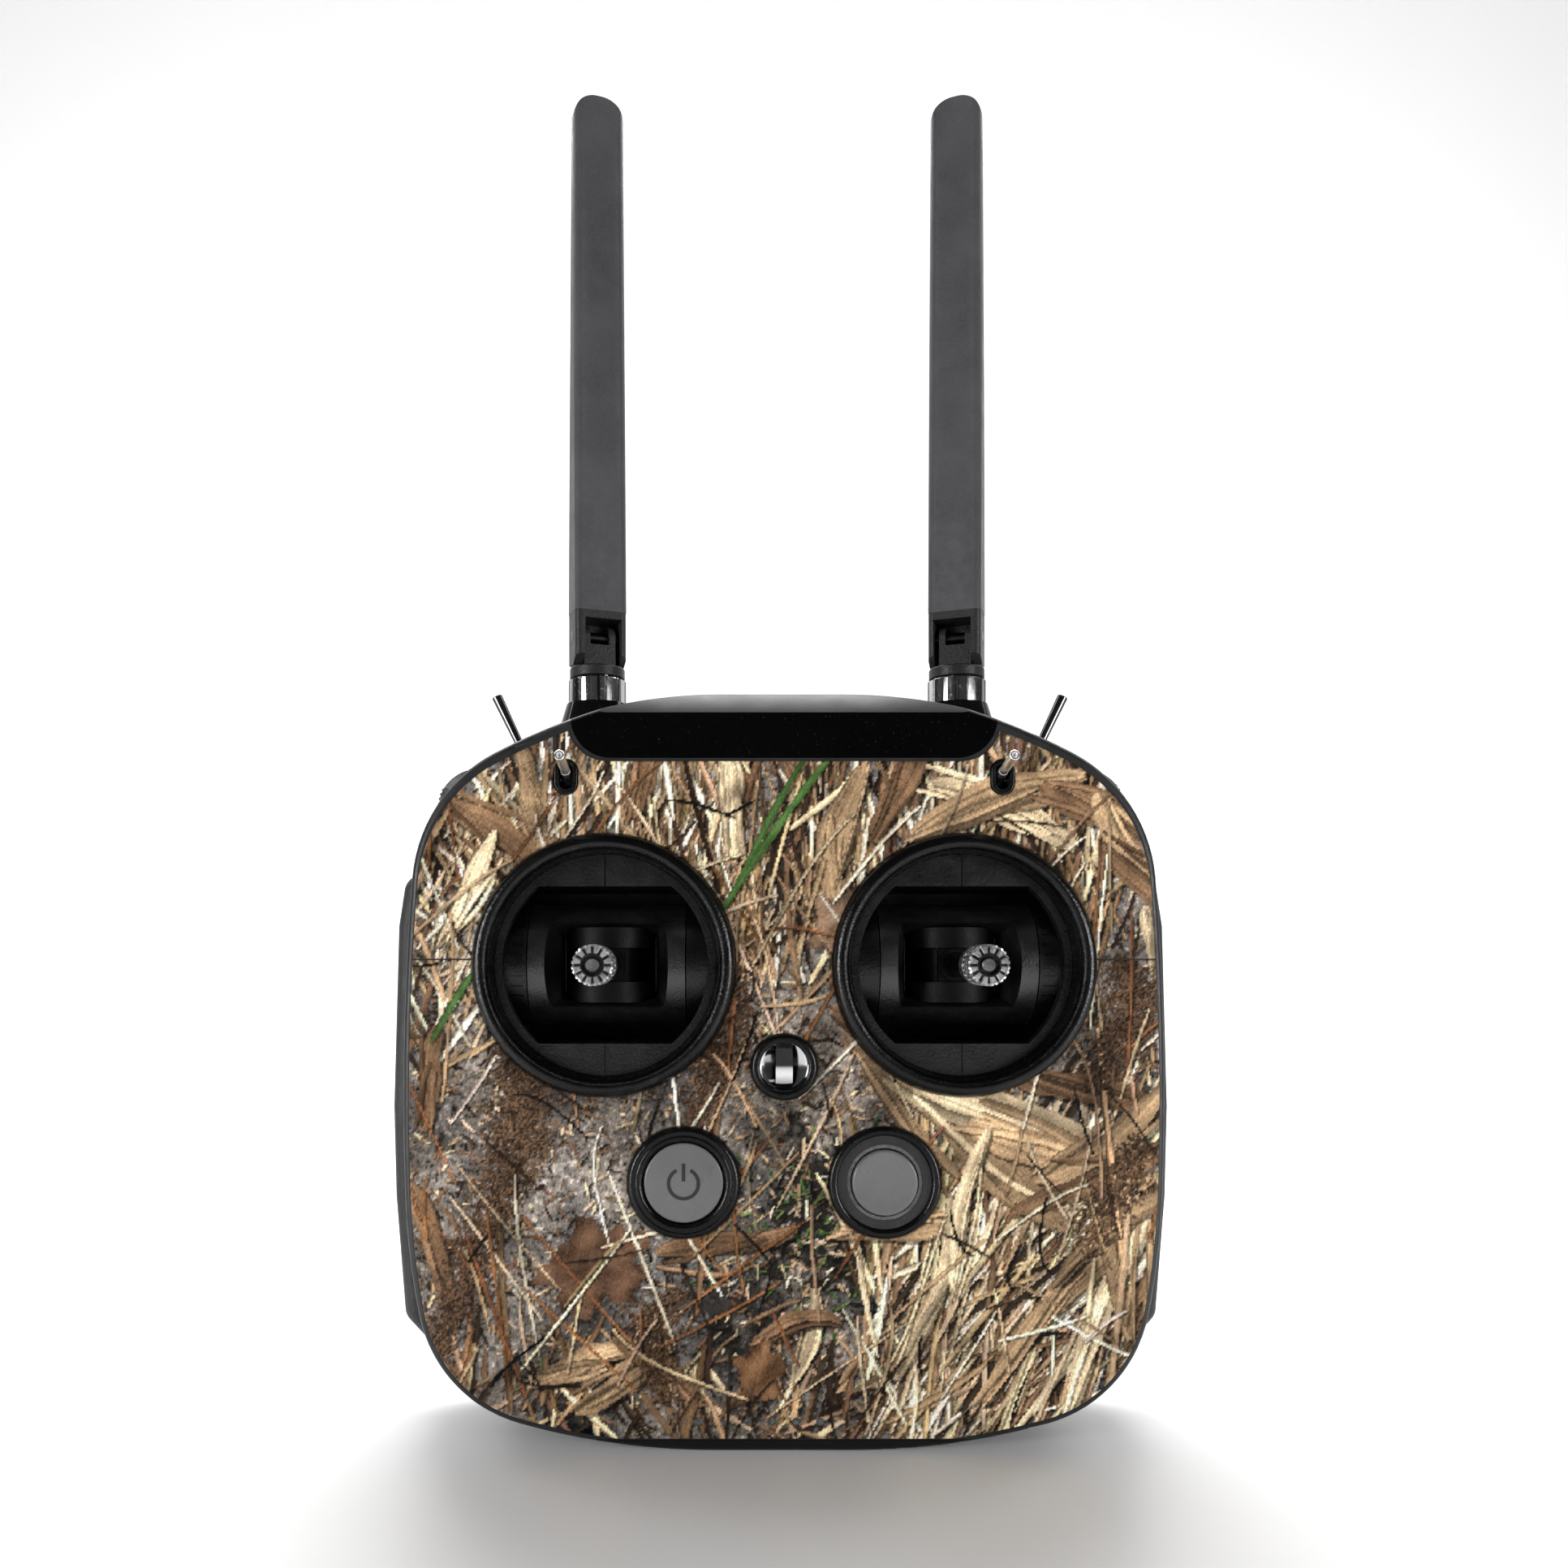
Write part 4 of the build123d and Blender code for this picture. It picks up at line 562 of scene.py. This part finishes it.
def paint_stems(art, low, high):
    """Seed heads on their stalks, single stems, twigs and a few green blades on top."""
    for x, z, angle, length, width, count in SEED_HEADS:
        art.blade(x, z - 44, angle, 60, 1.4, pick(TAN, BROWN), rng.normal(0, 5), 0.3, 0.1, 0.6, 0, 0.4)
        art.plume(x, z, angle, length, width, count, SEED_HEAD)
    for _ in range(130):
        x, z = rng.uniform(low[0], high[0]), rng.uniform(low[1], 150)
        art.blade(x, z, 80 + rng.normal(0, 32), rng.uniform(12, 48), rng.uniform(0.3, 0.7),
                  pick(PALE, STRAW, TAN, RUST), rng.normal(0, 30), 0.1, 0.35, 0.6)
    for _ in range(60):
        art.blade(rng.uniform(low[0], high[0]), rng.uniform(0, 170), rng.uniform(0, 360),
                  rng.uniform(6, 22), rng.uniform(0.3, 0.55), pick(DARK, SHADOW), rng.normal(0, 60),
                  0.1, 0.3, 0.3)
    for x, z, angle, length in GREEN_BLADES:
        art.blade(x, z, angle, length, 1.5, GREEN, -18, 0.2, 0.4, 0.5, 0, 0.3)


def paint_field(low, high):
    """The whole printed picture, from the ground up, with light and shade across it."""
    art = Print(low, high, PRINT_PIXEL)
    paint_ground(art)
    paint_litter(art, low, high)
    paint_straw(art)
    paint_husks(art)
    paint_stems(art, low, high)
    art.paint *= np.clip(1 + 0.22 * art.field(9, 3)[..., None], 0.45, 1.5)
    art.paint = np.clip(art.paint ** 1.06 * PRINT_GAIN, 0, 1)
    return art


def face_outline(piece):
    """The loops round the front of a thin CAD sheet, as pairs of (x, z) ends."""
    mesh = bmesh.new()
    mesh.from_mesh(piece.data)
    front = [f for f in mesh.faces if f.normal.y < -0.9]
    inside = set(front)
    ends = []
    for face in front:
        for edge in face.edges:
            if sum(other in inside for other in edge.link_faces) == 1:
                ends.append([(v.co.x, v.co.z) for v in edge.verts])
    mesh.free()
    return np.array(ends)


def inside_outline(ends, low, columns, rows):
    """Which squares of the grid have their centre inside the outline, row by row."""
    centre_x = low.x + (np.arange(columns) + 0.5) * GRID_PITCH
    keep = np.zeros((rows, columns), bool)
    for row in range(rows):
        level = low.z + (row + 0.5) * GRID_PITCH
        crossing = (ends[:, 0, 1] > level) != (ends[:, 1, 1] > level)
        a, b = ends[crossing, 0], ends[crossing, 1]
        cuts = np.sort(a[:, 0] + (level - a[:, 1]) / (b[:, 1] - a[:, 1]) * (b[:, 0] - a[:, 0]))
        keep[row] = np.searchsorted(cuts, centre_x) % 2 == 1
    return keep


def squares_round(keep):
    """How many kept squares meet at each grid point."""
    count = np.zeros((keep.shape[0] + 1, keep.shape[1] + 1), int)
    for down in (0, 1):
        for across in (0, 1):
            count[down:keep.shape[0] + down, across:keep.shape[1] + across] += keep
    return count


def snap_rim(x, z, rim, ends):
    """Moves the grid's rim points onto the true outline."""
    samples = []
    for a, b in ends:
        count = max(2, int(np.hypot(*(b - a)) / RIM_SAMPLE))
        samples.append(a + (b - a) * np.linspace(0, 1, count)[:, None])
    samples = np.concatenate(samples)
    tree = KDTree(len(samples))
    for number, (sx, sz) in enumerate(samples):
        tree.insert((sx, 0, sz), number)
    tree.balance()
    for vertex in rim:
        spot, _, distance = tree.find((x[vertex], 0, z[vertex]))
        if distance < RIM_REACH * GRID_PITCH:
            x[vertex], z[vertex] = spot.x, spot.z


def rim_edges(quads, rim):
    """The outer edges of the grid: those that only one square has."""
    edges = {}
    for quad in quads[np.isin(quads, rim).any(1)]:
        for a, b in zip(quad, np.roll(quad, -1)):
            if (b, a) in edges:
                edges.pop((b, a))
            else:
                edges[(a, b)] = True
    on_rim = set(rim.tolist())
    return [(a, b) for a, b in edges if a in on_rim and b in on_rim]


def quad_mesh(name, vertices, faces):
    """A mesh of four-sided faces from arrays."""
    mesh = bpy.data.meshes.new(name)
    mesh.vertices.add(len(vertices))
    mesh.vertices.foreach_set("co", vertices.ravel())
    mesh.loops.add(faces.size)
    mesh.loops.foreach_set("vertex_index", faces.ravel())
    mesh.polygons.add(len(faces))
    mesh.polygons.foreach_set("loop_start", np.arange(0, faces.size, 4))
    mesh.polygons.foreach_set("loop_total", np.full(len(faces), 4))
    mesh.update(calc_edges=True)
    mesh.validate()
    return mesh


def build_skin():
    """A fine grid over the CAD sheet's front, trimmed to its outline, with a colour at each point."""
    low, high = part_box("camo_skin")
    ends = face_outline(NODES["camo_skin"])
    columns = int((high.x - low.x) / GRID_PITCH) + 2
    rows = int((high.z - low.z) / GRID_PITCH) + 2
    keep = inside_outline(ends, low, columns, rows)
    meeting = squares_round(keep)
    used = meeting > 0
    index = np.full(used.shape, -1)
    index[used] = np.arange(used.sum())
    grid_row, grid_column = np.nonzero(used)
    x, z = low.x + grid_column * GRID_PITCH, low.z + grid_row * GRID_PITCH
    r, c = np.nonzero(keep)
    quads = np.stack([index[r, c], index[r, c + 1], index[r + 1, c + 1], index[r + 1, c]], 1)
    rim = np.nonzero(meeting[used] < 4)[0]
    snap_rim(x, z, rim, ends)

    # the cut edge, from the front's rim back to the face of the case
    vertices = np.stack([x, np.full(x.size, low.y), z], 1)
    back = {vertex: len(vertices) + n for n, vertex in enumerate(rim.tolist())}
    back_vertices = vertices[rim].copy()
    back_vertices[:, 1] = high.y
    walls = np.array([[b, a, back[a], back[b]] for a, b in rim_edges(quads, rim)])
    vertices = np.concatenate([vertices, back_vertices])
    mesh = quad_mesh("printed_skin", vertices, np.concatenate([quads, walls]))

    art = paint_field((low.x / MM - 1, low.z / MM - 1), (high.x / MM + 1, high.z / MM + 1))
    column = ((vertices[:, 0] / MM - art.low[0]) / art.pixel).astype(int).clip(0, art.width - 1)
    row = ((vertices[:, 2] / MM - art.low[1]) / art.pixel).astype(int).clip(0, art.height - 1)
    colours = np.ones((len(vertices), 4), np.float32)
    colours[:, :3] = np.clip(art.paint[row, column], 0, 1)
    colours[len(x):, :3] = CUT_EDGE
    layer = mesh.color_attributes.new("print", "FLOAT_COLOR", "POINT")
    layer.data.foreach_set("color", colours.ravel())
    sheet = bpy.data.objects.new("printed_skin", mesh)
    bpy.context.collection.objects.link(sheet)
    return sheet


def vinyl():
    """The printed sheet: the painted picture with fine fibres, under a satin film."""
    g = Graph("printed_vinyl")
    printed = g.new("ShaderNodeVertexColor", layer_name="print").outputs["Color"]
    fibre = g.noise(0.32, 5.0, 0.75, g.stretch((1.0, 1.0, 0.35)))
    streaks = g.mix(g.ramp(fibre, 0.3, 0.72), (0.5, 0.49, 0.47), (1.25, 1.25, 1.22))
    shade = g.mix(1.0, printed, streaks, "MULTIPLY")
    g.set(Base_Color=shade, Roughness=g.ramp(g.noise(3.0, 4.0), 0.3, 0.7, 0.36, 0.46))
    g.shader.inputs["IOR"].default_value = 1.18
    g.bump([(g.noise(0.4, 2.0), 0.006), (g.noise(12.0, 1.0), 0.02)])
    return g.material


skin = build_skin()
skin.data.materials.append(vinyl())
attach(skin, "case")
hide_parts("camo_skin")


# ------------------------------------------------------------------ the power symbol
DOME_RADIUS = 61.8 * MM
INK_LIFT = 0.07 * MM
RING_RADII = (3.25 * MM, 3.7 * MM, 4.15 * MM)
RING_GAP = 27
RING_STEPS = 72
BAR_OFFSETS = (-0.45 * MM, 0, 0.45 * MM)
BAR_ENDS = (0.6 * MM, 5.0 * MM)
BAR_STEPS = 8


def power_symbol():
    """A broken ring with a bar through its gap, printed on the domed power cap."""
    low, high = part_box("power_button")
    middle = (low + high) / 2
    mesh = bmesh.new()

    def spot(dx, dz):
        return (middle.x + dx, low.y + (dx * dx + dz * dz) / (2 * DOME_RADIUS) - INK_LIFT, middle.z + dz)

    def strip(rows):
        for a, b in zip(rows, rows[1:]):
            for n in range(len(a) - 1):
                mesh.faces.new((a[n], a[n + 1], b[n + 1], b[n]))

    strip([
        [mesh.verts.new(spot(radius * math.cos(angle), radius * math.sin(angle))) for radius in RING_RADII]
        for angle in np.radians(np.linspace(90 + RING_GAP, 450 - RING_GAP, RING_STEPS + 1))
    ])
    strip([
        [mesh.verts.new(spot(dx, dz)) for dx in BAR_OFFSETS]
        for dz in np.linspace(*BAR_ENDS, BAR_STEPS)
    ])
    bmesh.ops.recalc_face_normals(mesh, faces=mesh.faces)
    data = bpy.data.meshes.new("power_symbol")
    mesh.to_mesh(data)
    mesh.free()
    data.materials.append(moulded("symbol_ink", (0.02, 0.02, 0.02), 0.5, 0.2, 0.004))
    return bpy.data.objects.new("power_symbol", data)


symbol = power_symbol()
bpy.context.collection.objects.link(symbol)
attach(symbol, "power_button")


# ------------------------------------------------------------------ floor, light and camera
def studio_material(name, colour):
    """Pale paint whose backdrop glows to plain white."""
    g = Graph(name)
    shade = g.mix(g.ramp(g.noise(60.0), 0.3, 0.7), tint(colour, 0.99), tint(colour, 1.0))
    far = g.new("ShaderNodeSeparateXYZ")
    g.feed(far.inputs[0], g.place)
    glow = g.ramp(far.outputs["Y"], 0.5, 1.4, 0.0, 0.55)
    g.set(Base_Color=shade, Roughness=0.35, Emission_Strength=glow)
    g.shader.inputs["Emission Color"].default_value = (1.0, 1.0, 1.0, 1.0)
    return g.material


def sweep():
    """A pale floor that curves up into the backdrop behind the object."""
    mesh = bmesh.new()
    front, bend_start, bend, top, half_width = -3.0, 0.9, 1.2, 5.0, 5
    profile = [(front, 0.0), (bend_start, 0.0)]
    for angle in np.linspace(0.1, math.pi / 2, 14):
        profile.append((bend_start + bend * math.sin(angle), bend - bend * math.cos(angle)))
    profile.append((bend_start + bend, top))
    rows = [[mesh.verts.new((x, y, z)) for x in (-half_width, half_width)] for y, z in profile]
    for a, b in zip(rows, rows[1:]):
        mesh.faces.new((a[0], a[1], b[1], b[0])).smooth = True
    data = bpy.data.meshes.new("studio_sweep")
    mesh.to_mesh(data)
    mesh.free()
    floor = bpy.data.objects.new("studio_sweep", data)
    bpy.context.collection.objects.link(floor)
    floor.data.materials.append(studio_material("studio_white", (0.86, 0.86, 0.86)))


def softbox(name, spot, target, size, power):
    """A rectangular area light that faces its target."""
    light = bpy.data.lights.new(name, "AREA")
    light.shape = "RECTANGLE"
    light.size, light.size_y = size
    light.energy = power
    lamp = bpy.data.objects.new(name, light)
    lamp.location = spot
    lamp.rotation_euler = (Vector(target) - Vector(spot)).to_track_quat("-Z", "Y").to_euler()
    bpy.context.collection.objects.link(lamp)


FACE_MIDDLE = (0, 0, 0.13)
sweep()
softbox("key_left", (-0.85, -0.62, 0.22), FACE_MIDDLE, (0.34, 0.42), 8.0)
softbox("key_right", (0.85, -0.66, 0.20), FACE_MIDDLE, (0.34, 0.42), 7.2)
softbox("top_back", (0.0, 0.55, 1.0), (0, 0.02, 0.0), (1.0, 0.45), 18.5)
softbox("backdrop_left", (-1.2, 0.5, 1.4), (-0.3, 1.8, 0.3), (0.8, 0.8), 11.0)
softbox("backdrop_right", (1.2, 0.5, 1.4), (0.3, 1.8, 0.3), (0.8, 0.8), 11.0)

def studio_world(seen, cast):
    """A pale surround to the camera that casts only a little light on the object."""
    world = bpy.data.worlds.new("studio")
    world.use_nodes = True
    nodes, links = world.node_tree.nodes, world.node_tree.links
    level = nodes.new("ShaderNodeMath")
    level.operation = "MULTIPLY_ADD"
    links.new(nodes.new("ShaderNodeLightPath").outputs["Is Camera Ray"], level.inputs[0])
    level.inputs[1].default_value = seen - cast
    level.inputs[2].default_value = cast
    links.new(level.outputs[0], nodes["Background"].inputs["Strength"])
    nodes["Background"].inputs["Color"].default_value = (0.97, 0.98, 1.0, 1.0)
    bpy.context.scene.world = world


studio_world(0.9, 0.05)

# about 0.3 m in front of the face and square to it; the shift puts the object in the frame as in the photo
CAMERA_SPOT = (-0.016, -0.31375, 0.1217)
camera = bpy.data.cameras.new("camera")
camera.sensor_width = 36.0
camera.lens = 27.95
camera.shift_x = 0.0409
camera.shift_y = 0.1144
camera.clip_start = 0.01
holder = bpy.data.objects.new("camera", camera)
holder.location = CAMERA_SPOT
holder.rotation_euler = (math.radians(90), 0, 0)
bpy.context.collection.objects.link(holder)
bpy.context.scene.camera = holder
bpy.context.scene.view_settings.view_transform = "Standard"
